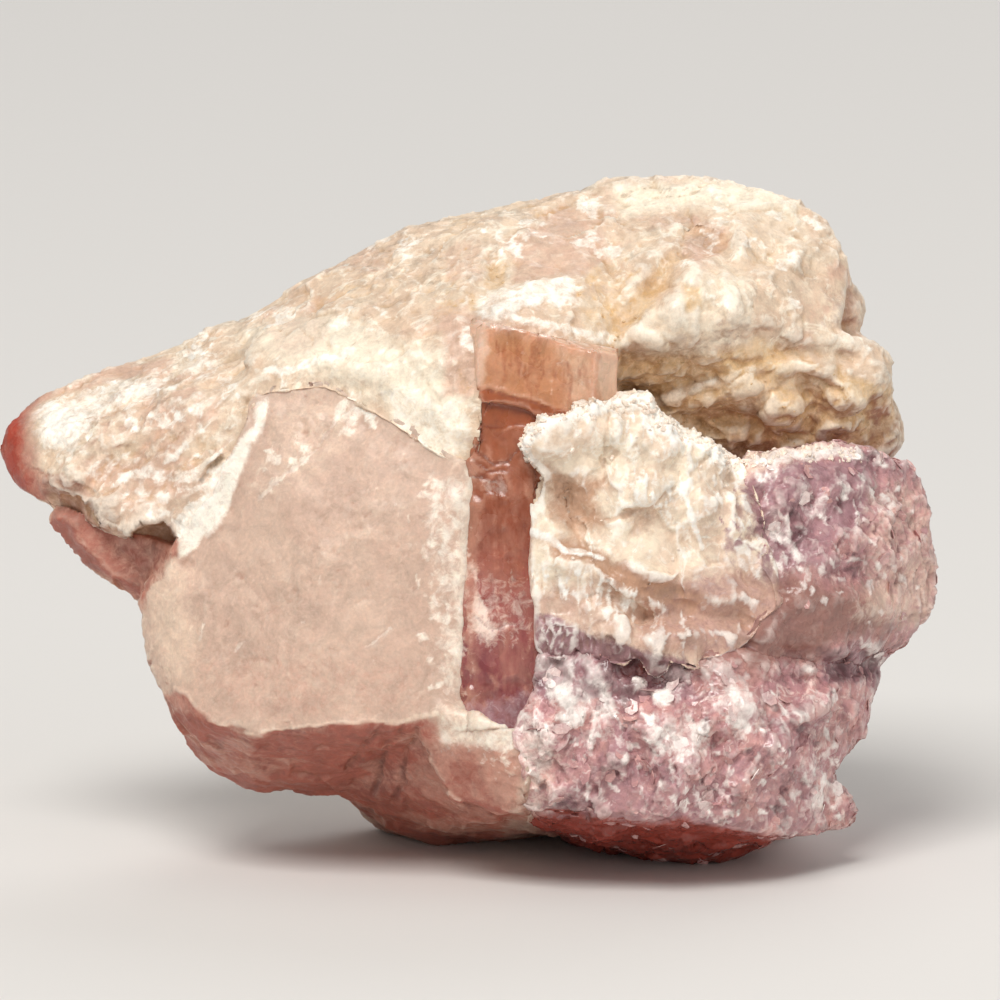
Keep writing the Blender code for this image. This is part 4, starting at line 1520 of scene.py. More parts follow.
CAP_FEATURES: tuple[Feature, ...] = (
    *SEAMS,
    Patch(14, {ROSE: 0.1, PALE: 0.3}, WING),
    Patch(16, {WHITE_AND_GLINT: 0.75}, ((36, 402), (150, 374), (215, 352), (222, 368), (165, 392), (110, 412),
         (66, 450), (36, 450))),
    Stroke(7, {ROSE: 0.8, WHITE_AND_GLINT: -0.5}, ((36, 394), (95, 380), (165, 364))),
    Patch(12, {ROSE: 0.35, WHITE_AND_GLINT: -0.6}, ((110, 392), (200, 372), (236, 372), (226, 420), (190, 432),
         (120, 430)), 0.1),
    Flecks(2.4, {ROSE: 0.7}, ((60, 400), (230, 350), (240, 440), (150, 500), (60, 470)), 0.08, 90, (10, 34),
        (-30, 18), 7),
    Flecks(2.2, {WHITE_AND_GLINT: 0.6}, ((20, 410), (230, 350), (245, 440), (150, 510), (40, 470)), -0.07, 110,
        (8, 30), (-30, 18), 8),
    Patch(10, {WHITE_AND_GLINT: 0.75}, ((30, 418), (62, 412), (88, 425), (80, 450), (42, 452)), -0.15),
    Patch(14, {ROSE: 0.6, PALE: -0.5, WHITE_AND_GLINT: -0.4}, ((60, 470), (160, 462), (215, 470), (180, 530),
         (100, 500))),
    Patch(8, {WHITE_AND_GLINT: 0.75}, ((112, 388), (152, 378), (158, 396), (122, 406)), -0.1),
    Patch(20, {PALE: 0.8}, ((230, 330), (300, 310), (420, 340), (470, 375), (465, 400), (380, 400),
         (280, 370))),
    Patch(12, {ROSE: 0.55}, ((265, 318), (318, 306), (330, 345), (290, 362), (268, 350)), 0.1),
    Stroke(2.6, {RED_AND_UNDERSHADE: 0.3}, ((185, 430), (140, 462)), 0.15),
    Stroke(2.6, {RED_AND_UNDERSHADE: 0.3}, ((215, 447), (165, 487)), 0.15),
    Patch(5, {RED_AND_UNDERSHADE: 0.45, ROSE: 0.75, CALM: 0.6, WHITE_AND_GLINT: -1}, ((50, 515), (90, 512), (112, 538), (140, 532),
         (168, 520), (178, 550), (146, 600), (60, 600))),
    Stroke(6, {WHITE_AND_GLINT: 0.7, CLAY: -0.8}, ((482, 312), (543, 326), (612, 338)), -0.1),
    Patch(9, {CALM: 1, PALE: 0.8, WHITE_AND_GLINT: 0.5}, ((380, 385), (425, 388), (468, 400), (470, 455), (440, 462),
         (408, 440), (385, 408))),
    Patch(5, {ROSE: 0.8, CALM: 0.8, WHITE_AND_GLINT: -0.8}, ((506, 238), (560, 206), (604, 212), (602, 262),
         (578, 280), (512, 286)), 0.3),
    Patch(8, {WHITE_AND_GLINT: 0.55, ROSE: -0.8}, ((474, 296), (500, 284), (530, 284), (560, 277), (579, 280),
         (575, 297), (540, 305), (500, 312), (478, 320))),
    Flecks(2.4, {WHITE_AND_GLINT: 0.8}, ((474, 300), (500, 288), (579, 280), (575, 296), (500, 312)), -0.14, 26,
        (20, 56), (-11, 7), 9),
    Flecks(2.2, {WHITE_AND_GLINT: 0.9}, ((492, 268), (506, 246), (520, 230), (530, 234), (512, 264)), -0.14, 12,
        (12, 34), (-55, 8), 15),
    Flecks(2.2, {CLAY: 0.4}, ((375, 262), (500, 232), (506, 280), (470, 305), (380, 300)), 0.12, 60,
        (5, 14), (60, 60), 10),
    Patch(5, {CLAY: 0.6}, ((484, 268), (506, 268), (505, 284), (486, 285)), 0.2),
    Patch(5, {CLAY: 0.6}, ((470, 295), (486, 295), (486, 308), (472, 308)), 0.2),
    Patch(12, {PALE: 0.9}, ((610, 188), (700, 178), (800, 200), (800, 225), (700, 205), (620, 215))),
    Stroke(1.6, {SHADE: 0.4}, ((620, 196), (650, 190), (690, 184)), 0.15),
    Stroke(1.4, {SHADE: 0.3}, ((640, 204), (668, 196), (700, 192)), 0.12),
    Patch(5, {ROSE: 0.8}, ((686, 214), (706, 212), (730, 226), (726, 250), (700, 262), (684, 258)), 0.35),
    Stroke(2, {RED_AND_UNDERSHADE: 0.4}, ((686, 212), (684, 258)), 0.25),
    Flecks(2, {WHITE_AND_GLINT: 0.9}, ((748, 236), (766, 238), (764, 250), (746, 250)), -0.08, 8, (6, 18), (-10, 80),
        16),
    Patch(14, {CLAY: 0.35}, ((565, 270), (672, 262), (655, 345), (600, 352), (572, 320))),
    Stroke(9, {CLAY: 0.5}, ((682, 255), (655, 292), (620, 332), (602, 350)), 0.22),
    Flecks(2.4, {CLAY: 0.6}, ((565, 275), (660, 265), (650, 340), (600, 350)), 0.16, 40, (6, 18), (-50, 40),
        12),
    Patch(12, {PALE: 0.6, CLAY: -0.6}, ((690, 262), (760, 275), (750, 345), (640, 352), (630, 335),
         (665, 300)), -0.15),
    Patch(5, {CLAY: 0.75}, ((680, 286), (701, 284), (702, 308), (684, 311)), 0.4),
    Patch(12, {ROSE: 0.35, CALM: 0.5}, ((788, 266), (845, 262), (852, 318), (795, 322))),
    Patch(6, {RED_AND_UNDERSHADE: 0.4}, ((826, 284), (865, 284), (865, 330), (828, 328))),
    Patch(6, {RED_AND_UNDERSHADE: 0.5}, ((870, 392), (905, 392), (905, 460), (868, 458))),
    Patch(10, {CLAY: 0.75, WHITE_AND_GLINT: -0.7}, POCKET, 0.05),
    Patch(10, {CLAY: -0.8}, ((845, 330), (893, 345), (893, 378), (850, 374)), -0.15),
    Patch(7, {CLAY: -0.4, CALM: 0.5}, ((790, 350), (835, 350), (838, 388), (792, 390))),
    # Painted red-brown shade low in the pocket, behind the ledge's rim.
    Patch(14, {RED_AND_UNDERSHADE: 0.3, CLAY: 0.4}, ((700, 412), (880, 404), (885, 458), (755, 465))),
    Patch(8, {CLAY: 0.4}, ((620, 352), (672, 352), (672, 384), (622, 388))),
    Patch(8, {CLAY: -0.3}, ((738, 388), (757, 380), (776, 390), (772, 414), (748, 417)), -0.4),
    Stroke(4, {SHADE: 0.3}, ((620, 396), (636, 392), (650, 394)), 0.1),
    Stroke(3.5, {SHADE: 0.2}, ((660, 391), (690, 388), (716, 392)), 0.15),
    Stroke(6, {CLAY: -0.5}, ((652, 402), (700, 388), (760, 370)), -0.3),
    Stroke(3.5, {SHADE: 0.3}, ((800, 377), (822, 384), (842, 394)), 0.3),
    Stroke(4.5, {SHADE: 0.4}, ((680, 412), (700, 424), (722, 440)), 0.3),
    Stroke(3.5, {SHADE: 0.4}, ((738, 445), (752, 458)), 0.3),
    Flecks(3.4, {WHITE_AND_GLINT: 0.8, ROSE: 0.3}, ((60, 470), (215, 440), (220, 490), (180, 545), (120, 500)), -0.12,
        46, (16, 44), (-30, 14), 17),
    Patch(3, {RED_AND_UNDERSHADE: 0.25, ROSE: 1, WHITE_AND_GLINT: -1, PALE: -1, CALM: 1}, ((22, 466), (60, 473), (86, 492),
         (92, 512), (60, 524), (34, 520)), 0.1),
    Stroke(2, {RED_AND_UNDERSHADE: 0.3}, ((30, 470), (62, 474), (90, 492), (100, 506)), 0.1),
    Patch(3, {ROSE: 0.6, WHITE_AND_GLINT: -0.6, CALM: 0.7}, ((86, 500), (118, 492), (165, 506), (166, 520), (136, 526),
         (122, 540), (108, 534)), -0.25),
    Patch(3, {ROSE: 0.95, WHITE_AND_GLINT: -1, PALE: -1, CALM: 1, RED_AND_UNDERSHADE: 0.45}, ((86, 506), (106, 536), (122, 542),
         (138, 528), (168, 522), (186, 560), (150, 570), (96, 556)), 0.15),
    # Painted red glow on the left tip.
    Patch(20, {TIP_GLOW: 1, CALM: 0.8, WHITE_AND_GLINT: -1, HOLLOW_SHADE: -1}, ((-20, 370), (52, 375), (38, 398), (28, 425),
         (32, 468), (42, 510), (-20, 520))),
    Patch(6, {SHADE: 0.4}, ((-20, 395), (6, 400), (6, 470), (24, 492), (20, 510), (-20, 510))),
)


@dataclass
class FeldsparCap(Mineral):
    """The cream feldspar that runs from the left tip over the top to the pocket on the right.

    Args:
        block: its coarse broken faces.
        flake: its middling ones.
        chip: its fine ones.
        streak: the drawn-out ones on the wing.
        lump: the size of the lumps in the pocket, in mm.
        bulge: how far these stand out, in mm.
    """

    block: Facets = Facets(4.6, 0.11, 81, 85, 0.1)
    flake: Facets = Facets(2.2, 0.1, 87, 89, 0.12)
    chip: Facets = Facets(0.95, 0.13, 91, 95, 0.2)
    streak: Facets = Facets(1.3, 0.16, 107, 115, 0.15)
    lump: float = 2.9
    bulge: float = 0.42

    def relief(self, skin: Skin, calm: Array) -> None:
        """Broken feldspar: streaked on the left, lumpy in the pocket, calmer between."""
        points = shaken(skin.points, 2.2, 0.7, 75)
        pocket = self.area(skin, POCKET)
        wing = self.area(skin, WING, 16.0)
        tip = self.area(skin, TIP, 8.0)
        block = self.block.height(points)
        flake = self.flake.height(points)
        chip = self.chip.height(points)
        rough = swells(skin.points, 1.6, 4, 111, 0.68) * 0.07
        lumpy = drawn_out(shaken(skin.points, 2.5, 0.7, 99), -22.0, 1.6)
        lump = Grains.among(lumpy, self.lump, 101)
        heap = lump.domes() * self.bulge + lump.tilted(0.14, 103, 0.2) + flake + chip
        laid = drawn_out(shaken(skin.points, 2.0, 0.5, 98), -30.0, 2.6)
        streak = self.streak.height(laid)
        broken = 1.0 - 0.85 * calm
        open_face = (1.0 - pocket) * (1.0 - tip)
        height = open_face * (block + broken * (flake + chip) + wing * streak)
        skin.push(height + pocket * (heap - 0.2) + rough * (1.0 - 0.8 * tip))

    def stain(self, skin: Skin) -> None:
        """Paints red-brown shade on the underside, browns random patches, whitens some of the grains and
        gives the left tip its painted red glow.
        """
        # Painted red-brown shade on the underside.
        skin.add(RED_AND_UNDERSHADE, 0.5 * self.under(skin))
        clay = skin.mark(CLAY)
        pale = skin.mark(PALE)
        stain = ramp(swells(skin.points, 7.0, 4, 121), 0.2, 0.95) * (1.0 - pale)
        skin.add(CLAY, 0.4 * stain)
        haze = ramp(swells(skin.points, 5.0, 4, 133, 0.6), 0.15, 0.5) * (1.0 - pale) * (1.0 - clay)
        skin.add(ROSE, 0.6 * haze)
        fleck = ramp(swells(skin.points, 3.0, 5, 131, 0.65), 0.3, 0.6) * ramp(skin.normals[:, 2], -0.3, 0.3)
        fleck *= 1.0 - 0.9 * ramp(skin.mark(CALM), 0.85, 0.95)
        skin.add(WHITE_AND_GLINT, 0.7 * fleck * (1.0 - clay))
        skin.marks[FLAKE] = np.clip(clay - 0.35, 0.0, 1.0)
        # Painted red glow on the left tip, in place of its hollow shade, edge highlights, white and crumbs.
        tip_glow = np.maximum(skin.mark(TIP_GLOW), ramp(skin.chart[:, 0], 44.0, 14.0))
        skin.marks[TIP_GLOW] = tip_glow
        for kind in (HOLLOW_SHADE, EDGE, WHITE_AND_GLINT, FLAKE):
            skin.marks[kind] = skin.marks[kind] * (1.0 - tip_glow)

    def strew(self, piece: bpy.types.Object) -> list[bpy.types.Object]:
        """Strews crumbs over the pocket."""
        crumbs = Scatter("Feldspar_Crumbs", Shape.GRAIN, 0.7, (0.08, 0.26), 0.8, 0.5, 5)
        return [crumbs.strew(piece, CRUMB_FINISH, self.slot)]


CRUMB_FINISH = Finish(
    "Feldspar_Crumbs", "D9BE98", "C29A70", "F6E9D2",
    cloud=3.0, grain=0.6, rough=(0.5, 0.8), glow=0.0,
)


# --- the albite ---------------------------------------------------------------------------------

FROST_FINISH = Finish(
    "Frosty_Albite", "F6E9DA", "EAD3C2", "FFFCF5",
    cloud=2.0, rough=(0.25, 0.55), bump=(0.03, 0.5), glow=0.0,
)

LEDGE_FINISH = Finish(
    "White_Albite", "EFDFC8", "E3C9B2", "FDF8EC",
    tints=(
        Tint(ROSE, "BE9484", 0.85, 0.3), Tint(CLAY, "B58A6E", 0.9, 0.4), Tint(LILAC, "A27C80", 1, 0.4),
        Tint(EDGE, "FFFBF3", 0.6, 0.5), Tint(HOLLOW_SHADE, "C29C80", 0.35, 0.5), Tint(WHITE_AND_GLINT, "FFFCF5", 1, 0.5),
        Tint(SHADE, "6E4A4A", 0.8, 0.4),
    ),
    cloud=5.0, grain=2.4, rough=(0.24, 0.5), bump=(0.05, 0.5), plate=(2.2, 0.12, 0.07),
    chip=(0.5, 0.12, 0.06), sand=(0.28, 0.25), mottled=0.8, flecked=0.8, glow=0.0,
)

FRINGE: Path = (
    (528, 590), (600, 575), (640, 598), (690, 612), (700, 640), (690, 660), (640, 660), (530, 645),
)

NOSE: Path = ((510, 410), (605, 405), (600, 475), (540, 470), (510, 455))

RIM: Path = (
    (523, 462), (518, 450), (530, 430), (560, 415), (618, 400), (645, 405), (665, 425), (700, 437),
    (722, 458), (745, 462), (775, 445), (800, 455), (850, 452), (885, 458),
)

LEDGE_CUTS = (
    Cut(((505, 395), (574, 395), (574, 410), (550, 416), (530, 428), (519, 445), (505, 445)), 17.6),
    Cut(((505, 452), (518, 453), (532, 462), (541, 474), (540, 490), (533, 506), (505, 506)), 17.6),
)

CRACK: Path = ((606, 395), (600, 470), (592, 560), (589, 640), (587, 730))

TOP_RIM: Path = ((735, 464), (775, 456), (820, 452), (855, 455))

SHOULDER: Path = ((690, 430), (880, 450), (755, 488), (740, 575), (690, 580))

LEPIDOLITE_CUTS = (
    Cut(((600, 640), (640, 650), (700, 655), (700, 684), (650, 690), (604, 684)), 18.9, True),
)

LEDGE_FEATURES: tuple[Feature, ...] = (
    Patch(18, {ROSE: 0.3}, ((690, 470), (760, 470), (760, 580), (700, 570))),
    Patch(14, {CLAY: 0.95}, ((545, 465), (600, 482), (604, 530), (575, 540), (548, 515)), 0.3),
    Patch(9, {CLAY: 0.6}, ((625, 510), (655, 505), (655, 535), (630, 537)), 0.2),
    Patch(12, {CLAY: 0.35}, ((540, 545), (600, 562), (640, 590), (600, 585), (545, 570)), 0.1),
    Stroke(2.2, {CLAY: 0.3}, ((611, 400), (605, 440), (603, 485)), 0.15),
    Stroke(2.2, {CLAY: 0.4}, ((605, 520), (650, 505), (682, 485)), 0.2),
    Stroke(3, {WHITE_AND_GLINT: 0.8}, ((688, 485), (694, 515), (700, 548)), -0.12),
    Stroke(3.5, {WHITE_AND_GLINT: 0.8}, ((535, 530), (565, 548), (602, 560)), -0.15),
    Stroke(10, {CLAY: 1}, ((560, 545), (600, 562), (640, 588), (690, 604)), 0.4),
    Stroke(16, {CLAY: 0.5, ROSE: 1, WHITE_AND_GLINT: -0.8}, ((620, 575), (660, 594), (700, 608), (762, 618)), 0.15),
    Stroke(10, {WHITE_AND_GLINT: 0.8}, RIM),
    Flecks(1.8, {WHITE_AND_GLINT: 0.75}, ((620, 410), (700, 440), (745, 470), (730, 560), (640, 500)), -0.1, 50,
        (10, 34), (88, 10), 21),
    Flecks(2, {WHITE_AND_GLINT: 0.7}, ((545, 560), (640, 590), (640, 610), (545, 600)), -0.1, 30, (6, 18), (60, 30),
        22),
    Patch(12, {ROSE: 0.7}, FRINGE),
    Flecks(1.5, {WHITE_AND_GLINT: 0.7, ROSE: -0.4}, ((534, 570), (600, 578), (690, 618), (690, 634), (606, 614),
         (534, 588)), -0.08, 70, (14, 36), (88, 7), 23),
    Flecks(1.3, {CLAY: 0.5}, ((534, 572), (600, 580), (690, 620), (690, 632), (606, 612), (534, 586)), 0.1,
        44, (12, 26), (88, 7), 24),
    Flecks(2.2, {SHADE: 0.7}, ((534, 612), (600, 636), (640, 652), (640, 680), (534, 668)), 0.3, 46,
        (6, 20), (70, 24), 25),
    Flecks(1.8, {WHITE_AND_GLINT: 0.5}, ((534, 622), (600, 646), (600, 675), (534, 668)), -0.25, 22, (8, 24), (75, 18),
        26),
    *MEETING,
)


@dataclass
class AlbiteLedge(Mineral):
    """The white albite that stands out right of the crystal, with a rim of small blades.

    Args:
        blade: its blocky blades.
        chip: their broken faces.
        line: the fine lines down them.
    """

    blade: Facets = Facets(4.2, 0.11, 143, 145, 0.14)
    chip: Facets = Facets(1.3, 0.07, 151, 155, 0.12)
    line: Facets = Facets(0.6, 0.16, 165, 167, 0.2)

    def relief(self, skin: Skin, calm: Array) -> None:
        """Small blocky blades, finely lined from top to bottom."""
        points = shaken(skin.points, 1.8, 0.5, 137)
        blade = self.blade.height(drawn_out(points, 80.0, 1.5))
        chip = self.chip.height(points)
        lines = self.line.height(drawn_out(points, 87.0, 6.0))
        nose = self.area(skin, NOSE, 10.0)
        rough = swells(skin.points, 1.5, 4, 171, 0.65) * 0.035
        broken = 1.0 - 0.8 * calm
        kept = (1.0 - 0.7 * nose) * (1.0 - 0.8 * skin.seam)
        skin.push(kept * (blade + broken * (chip + lines)) + rough + self.teeth(skin, points, RIM))

    def stain(self, skin: Skin) -> None:
        """Whitens scattered grains and dulls the underside."""
        clay = skin.mark(CLAY)
        under = self.under(skin) * ramp(skin.chart[:, 1], 635.0, 655.0)
        skin.add(CLAY, 0.3 * under)
        skin.add(LILAC, under)
        skin.marks[WHITE_AND_GLINT] = skin.mark(WHITE_AND_GLINT) * (1.0 - under)
        fleck = ramp(swells(skin.points, 1.2, 3, 181, 0.6), 0.3, 0.9)
        dull = np.maximum(np.maximum(clay, skin.mark(LILAC)), skin.mark(ROSE))
        skin.add(WHITE_AND_GLINT, 0.5 * fleck * (1.0 - dull))
        rim = Stroke(9.0, {}, RIM).weight(skin.chart)
        skin.marks[FLAKE] = (0.03 + 0.97 * rim * ramp(skin.facing, -0.3, 0.2)) * (1.0 - dull)

    def strew(self, piece: bpy.types.Object) -> list[bpy.types.Object]:
        """Strews small blades along the rim."""
        blades = Scatter("Albite_Blades", Shape.GRAIN, 2.2, (0.12, 0.42), 0.6, 0.8, 11)
        return [blades.strew(piece, FROST_FINISH, self.slot)]


# --- the lepidolite -----------------------------------------------------------------------------

LEPIDOLITE_FINISH = Finish(
    "Lilac_Lepidolite", "CF9B95", "B08086", "F0D5CC",
    tints=(
        Tint(LILAC, "A47D84", 0.85, 0.5), Tint(ROSE, "90665A", 0.85, 0.3), Tint(PALE, "EBD0BC", 0.95, 0.5),
        Tint(EDGE, "F0DFD8", 0.4, 0.5), Tint(HOLLOW_SHADE, "8E5E62", 0.5, 0.5), Tint(WHITE_AND_GLINT, "FAF0EA", 1, 0.5),
        Tint(SHADE, "6A464A", 0.9, 0.5), Tint(RED_AND_UNDERSHADE, "963F32", 1, 0.4),
    ),
    cloud=4.5, grain=2.0, rough=(0.16, 0.42), bump=(0.06, 0.5), plate=(1.5, 0.28, 0.22),
    chip=(0.6, 0.22, 0.14), sand=(0.3, 0.3), mottled=0.8, flecked=0.8, glow=0.0,
)

MICA_FINISH = Finish(
    "Mica_Flakes", "D09F99", "B58488", "F4E3DC",
    tints=(
        Tint(WHITE_AND_GLINT, "FBF3EE", 0.9, 0.3),
    ),
    cloud=2.2, grain=0.9, rough=(0.15, 0.4), bump=(0.02, 0.6), glow=0.0, coat=0.3, mottled=0.8, flecked=0.6,
)

LEPIDOLITE_FEATURES: tuple[Feature, ...] = (
    Patch(9, {}, ((600, 645), (690, 652), (695, 688), (605, 690)), -0.6),
    Patch(22, {PALE: 0.7}, ((850, 480), (920, 480), (940, 550), (940, 640), (860, 620))),
    Stroke(7, {WHITE_AND_GLINT: 0.85}, TOP_RIM),
    Stroke(4, {WHITE_AND_GLINT: 0.4}, ((850, 456), (886, 463))),
    Stroke(11, {}, ((745, 660), (800, 662), (850, 657)), -0.7),
    Patch(8, {PALE: 1, CALM: 0.4}, ((690, 430), (815, 440), (850, 450), (835, 460), (800, 466), (755, 488),
         (740, 540), (735, 575), (690, 580))),
    *MEETING,
    # Painted red-brown shade in the hollow under the ledge.
    Patch(6, {RED_AND_UNDERSHADE: 0.5}, ((618, 662), (650, 662), (652, 682), (622, 684)), 0.2),
    Patch(9, {SHADE: 0.6, LILAC: 1}, ((820, 648), (882, 645), (884, 680), (824, 684)), 0.25),
    Patch(4, {WHITE_AND_GLINT: 0.8}, ((864, 640), (886, 640), (886, 665), (866, 666)), -0.2),
    # Painted highlight where the mica catches the light.
    Patch(9, {WHITE_AND_GLINT: 0.5}, ((552, 685), (590, 678), (622, 690), (618, 718), (560, 722)), -0.15),
    Patch(14, {WHITE_AND_GLINT: 0.45}, ((450, 690), (520, 700), (560, 735), (540, 790), (500, 760), (470, 730))),
    Patch(14, {PALE: 0.55, WHITE_AND_GLINT: 0.2}, ((515, 715), (556, 725), (556, 800), (530, 840), (515, 840))),
    # Painted highlights on the mica, here and in the next patch.
    Patch(10, {WHITE_AND_GLINT: 0.45}, ((640, 725), (690, 712), (714, 742), (690, 765), (650, 760)), -0.1),
    Patch(10, {WHITE_AND_GLINT: 0.35}, ((735, 700), (772, 690), (790, 722), (750, 736)), -0.1),
    Patch(10, {WHITE_AND_GLINT: 0.35}, ((790, 755), (830, 750), (850, 800), (800, 810))),
    Patch(8, {SHADE: 0.45, WHITE_AND_GLINT: -0.7}, ((612, 700), (632, 695), (640, 720), (616, 735)), 0.1),
    Patch(10, {SHADE: 0.35}, ((700, 665), (760, 668), (750, 690), (705, 690)), 0.1),
    Patch(12, {SHADE: 0.4}, ((785, 720), (850, 705), (856, 745), (800, 750)), 0.1),
    Stroke(7, {WHITE_AND_GLINT: 0.6, SHADE: -0.8}, ((582, 640), (590, 660), (600, 682)), -0.25),
    Stroke(2.6, {WHITE_AND_GLINT: 0.6}, ((594, 715), (592, 752)), -0.4),
    Flecks(2, {WHITE_AND_GLINT: 0.5}, ((520, 640), (600, 640), (590, 700), (530, 720)), -0.12, 40, (10, 30), (70, 18),
        31),
    # Painted glints: white flecks strewn over the mica.
    Flecks(2.4, {WHITE_AND_GLINT: 0.9}, ((520, 700), (840, 690), (840, 820), (700, 815), (540, 800)), -0.08, 120,
        (8, 26), (60, 40), 32),
    Flecks(2.4, {SHADE: 0.5}, ((520, 700), (840, 690), (840, 820), (700, 815), (540, 800)), 0.2, 110,
        (6, 20), (60, 60), 33),
    # Painted glints over the upper right of the mica.
    Flecks(2.2, {WHITE_AND_GLINT: 0.85}, ((770, 480), (920, 480), (925, 600), (860, 640), (770, 570)), -0.14, 70,
        (6, 22), (60, 40), 34),
    Flecks(2.4, {SHADE: 0.35}, ((750, 480), (900, 470), (900, 600), (760, 560)), 0.2, 50, (8, 24), (60, 40),
        35),
    # Painted glints: small bright spots on the mica, here and in the next three patches.
    Patch(3, {WHITE_AND_GLINT: 0.9}, ((562, 717), (582, 717), (582, 731), (563, 732)), -0.2),
    Patch(2, {WHITE_AND_GLINT: 1, SHADE: -1}, ((634, 682), (646, 682), (646, 692), (635, 693)), -0.3),
    Patch(2, {WHITE_AND_GLINT: 1, SHADE: -1}, ((651, 694), (672, 694), (672, 705), (652, 705)), -0.3),
    Patch(3, {WHITE_AND_GLINT: 0.9}, ((692, 728), (712, 715), (714, 735), (694, 745)), -0.2),
    Patch(7, {WHITE_AND_GLINT: 0.15}, ((800, 692), (832, 690), (836, 716), (804, 720)), -0.4),
    # Painted red-brown shade on the underside.
    Patch(6, {RED_AND_UNDERSHADE: 1, WHITE_AND_GLINT: -1}, ((490, 812), (567, 812), (637, 822), (690, 820), (750, 834), (790, 842),
         (790, 880), (480, 880))),
)


@dataclass
class LepidoliteMass(Mineral):
    """The lilac lepidolite at the lower right, a mass of small mica plates.

    Args:
        book: its coarsest plates.
        lays: (direction in degrees, salt) of its two lays of finer plates.
    """

    book: Facets = Facets(4.2, 0.15, 191, 195, 0.1)
    lays: tuple[tuple[float, int], ...] = ((62.0, 200), (-45.0, 240))

    def relief(self, skin: Skin, calm: Array) -> None:
        """Books of mica of three sizes, each tilted its own way; the band between is smooth."""
        points = shaken(skin.points, 1.6, 0.4, 187)
        quiet = np.maximum(self.area(skin, BAND, 14.0), 0.5 * self.area(skin, SHOULDER, 10.0))
        height = self.book.height(points)
        way = ramp(swells(skin.points, 7.0, 2, 193), -0.12, 0.12)
        for share, (angle, salt) in zip((way, 1.0 - way), self.lays):
            laid = drawn_out(points, angle, 2.6)
            plate = Facets(1.6, 0.2, salt + 1, salt + 5, 0.06).height(laid)
            scale = Facets(0.7, 0.12, salt + 11, salt + 15, 0.1).height(laid)
            height += share * (plate + (1.0 - calm) * scale)
        rough = swells(skin.points, 2.5, 4, 219, 0.6) * 0.1
        skin.push((1.0 - 0.85 * quiet) * height + rough + self.teeth(skin, points, TOP_RIM))

    def stain(self, skin: Skin) -> None:
        """Paints red-brown shade on the underside, and glints on scattered plates and torn streaks."""
        red_and_undershade = skin.mark(RED_AND_UNDERSHADE)
        # Painted red-brown shade on the underside.
        under = self.under(skin) * ramp(skin.facing, 0.45, 0.1)
        skin.add(RED_AND_UNDERSHADE, 0.75 * under)
        quiet = np.maximum(self.area(skin, BAND, 14.0), skin.mark(PALE))
        laid = drawn_out(shaken(skin.points, 1.2, 0.4, 220), 60.0, 2.2)
        plates = Grains.among(laid, 0.8, 221)
        thick = ramp(swells(skin.points, 5.0, 3, 223), -0.1, 0.4) * (1.0 - quiet)
        # Painted glints: a few plates and torn streaks whitened as though they caught the light.
        lit = (scatter(plates.cell, 225) > 0.8) * ramp(plates.border, 0.02, 0.15) * thick
        torn = ramp(swells(drawn_out(skin.points, 60.0, 2.0), 3.4, 5, 227, 0.6), 0.25, 0.45) * (1.0 - quiet)
        skin.add(WHITE_AND_GLINT, (0.4 * lit + 0.5 * torn) * (1.0 - red_and_undershade))
        dark = ramp(swells(skin.points, 4.5, 4, 231, 0.55), 0.1, 0.5) * (1.0 - quiet)
        shade = skin.mark(SHADE)
        skin.add(SHADE, 0.55 * dark)
        violet = ramp(swells(skin.points, 8.0, 3, 233), -0.1, 0.3) * (1.0 - quiet)
        skin.add(LILAC, 0.7 * violet)
        skin.marks[FLAKE] = np.clip((1.0 - 0.9 * red_and_undershade - 0.7 * shade) * (1.0 - 0.95 * quiet), 0.02, 1.0)
        rim = Stroke(TOOTHED, {}, TOP_RIM).weight(skin.chart)
        skin.marks[FROST] = rim * ramp(skin.facing, -0.3, 0.2)

    def strew(self, piece: bpy.types.Object) -> list[bpy.types.Object]:
        """Strews mica flakes over the mass."""
        flakes = Scatter("Mica_Flakes", Shape.PLATE, 0.12, (0.3, 0.95), 0.08, 0.4, 17)
        frost = Scatter("Frost_Blades", Shape.GRAIN, 2.4, (0.12, 0.42), 0.6, 0.8, 19, FROST)
        return [flakes.strew(piece, MICA_FINISH, self.slot), frost.strew(piece, FROST_FINISH, self.slot)]


# --- the tourmaline -----------------------------------------------------------------------------

CRYSTAL_FINISH = CrystalFinish(
    "Pink_Tourmaline", "B97568", "C99680", "E0B8A2",
    tints=(
        Tint(ROSE, "DCBBA2", 0.9, 0.3), Tint(RED_AND_UNDERSHADE, "9C5330", 0.95, 0.3), Tint(WHITE_AND_GLINT, "F0DCCF", 0.9, 0.6),
        Tint(HOLLOW_SHADE, "74332A", 0.35, 0.5), Tint(EDGE, "D8A890", 0.35, 0.5),
        Tint(LILAC, "B4909A", 0.8, 0.5), Tint(SHADE, "5A241C", 0.8, 0.4),
    ),
    cloud=5.0, grain=0.4, rough=(0.14, 0.42), bump=(0.03, 0.9), plate=(2.5, 0.05, 0.08),
    chip=(0.5, 0.05, 0.05), sand=(0.28, 0.2), glow=0.3, depth=1.5, radius=(1.0, 0.4, 0.3), coat=0.2,
    flecked=0.2,
    stops=(
        (0, "783336"), (0.18, "864044"), (0.36, "9E5850"), (0.5, "8A4630"), (0.66, "944A28"),
        (0.81, "9C522E"), (0.84, "BC8058"), (1, "C28A62"),
    ),
)

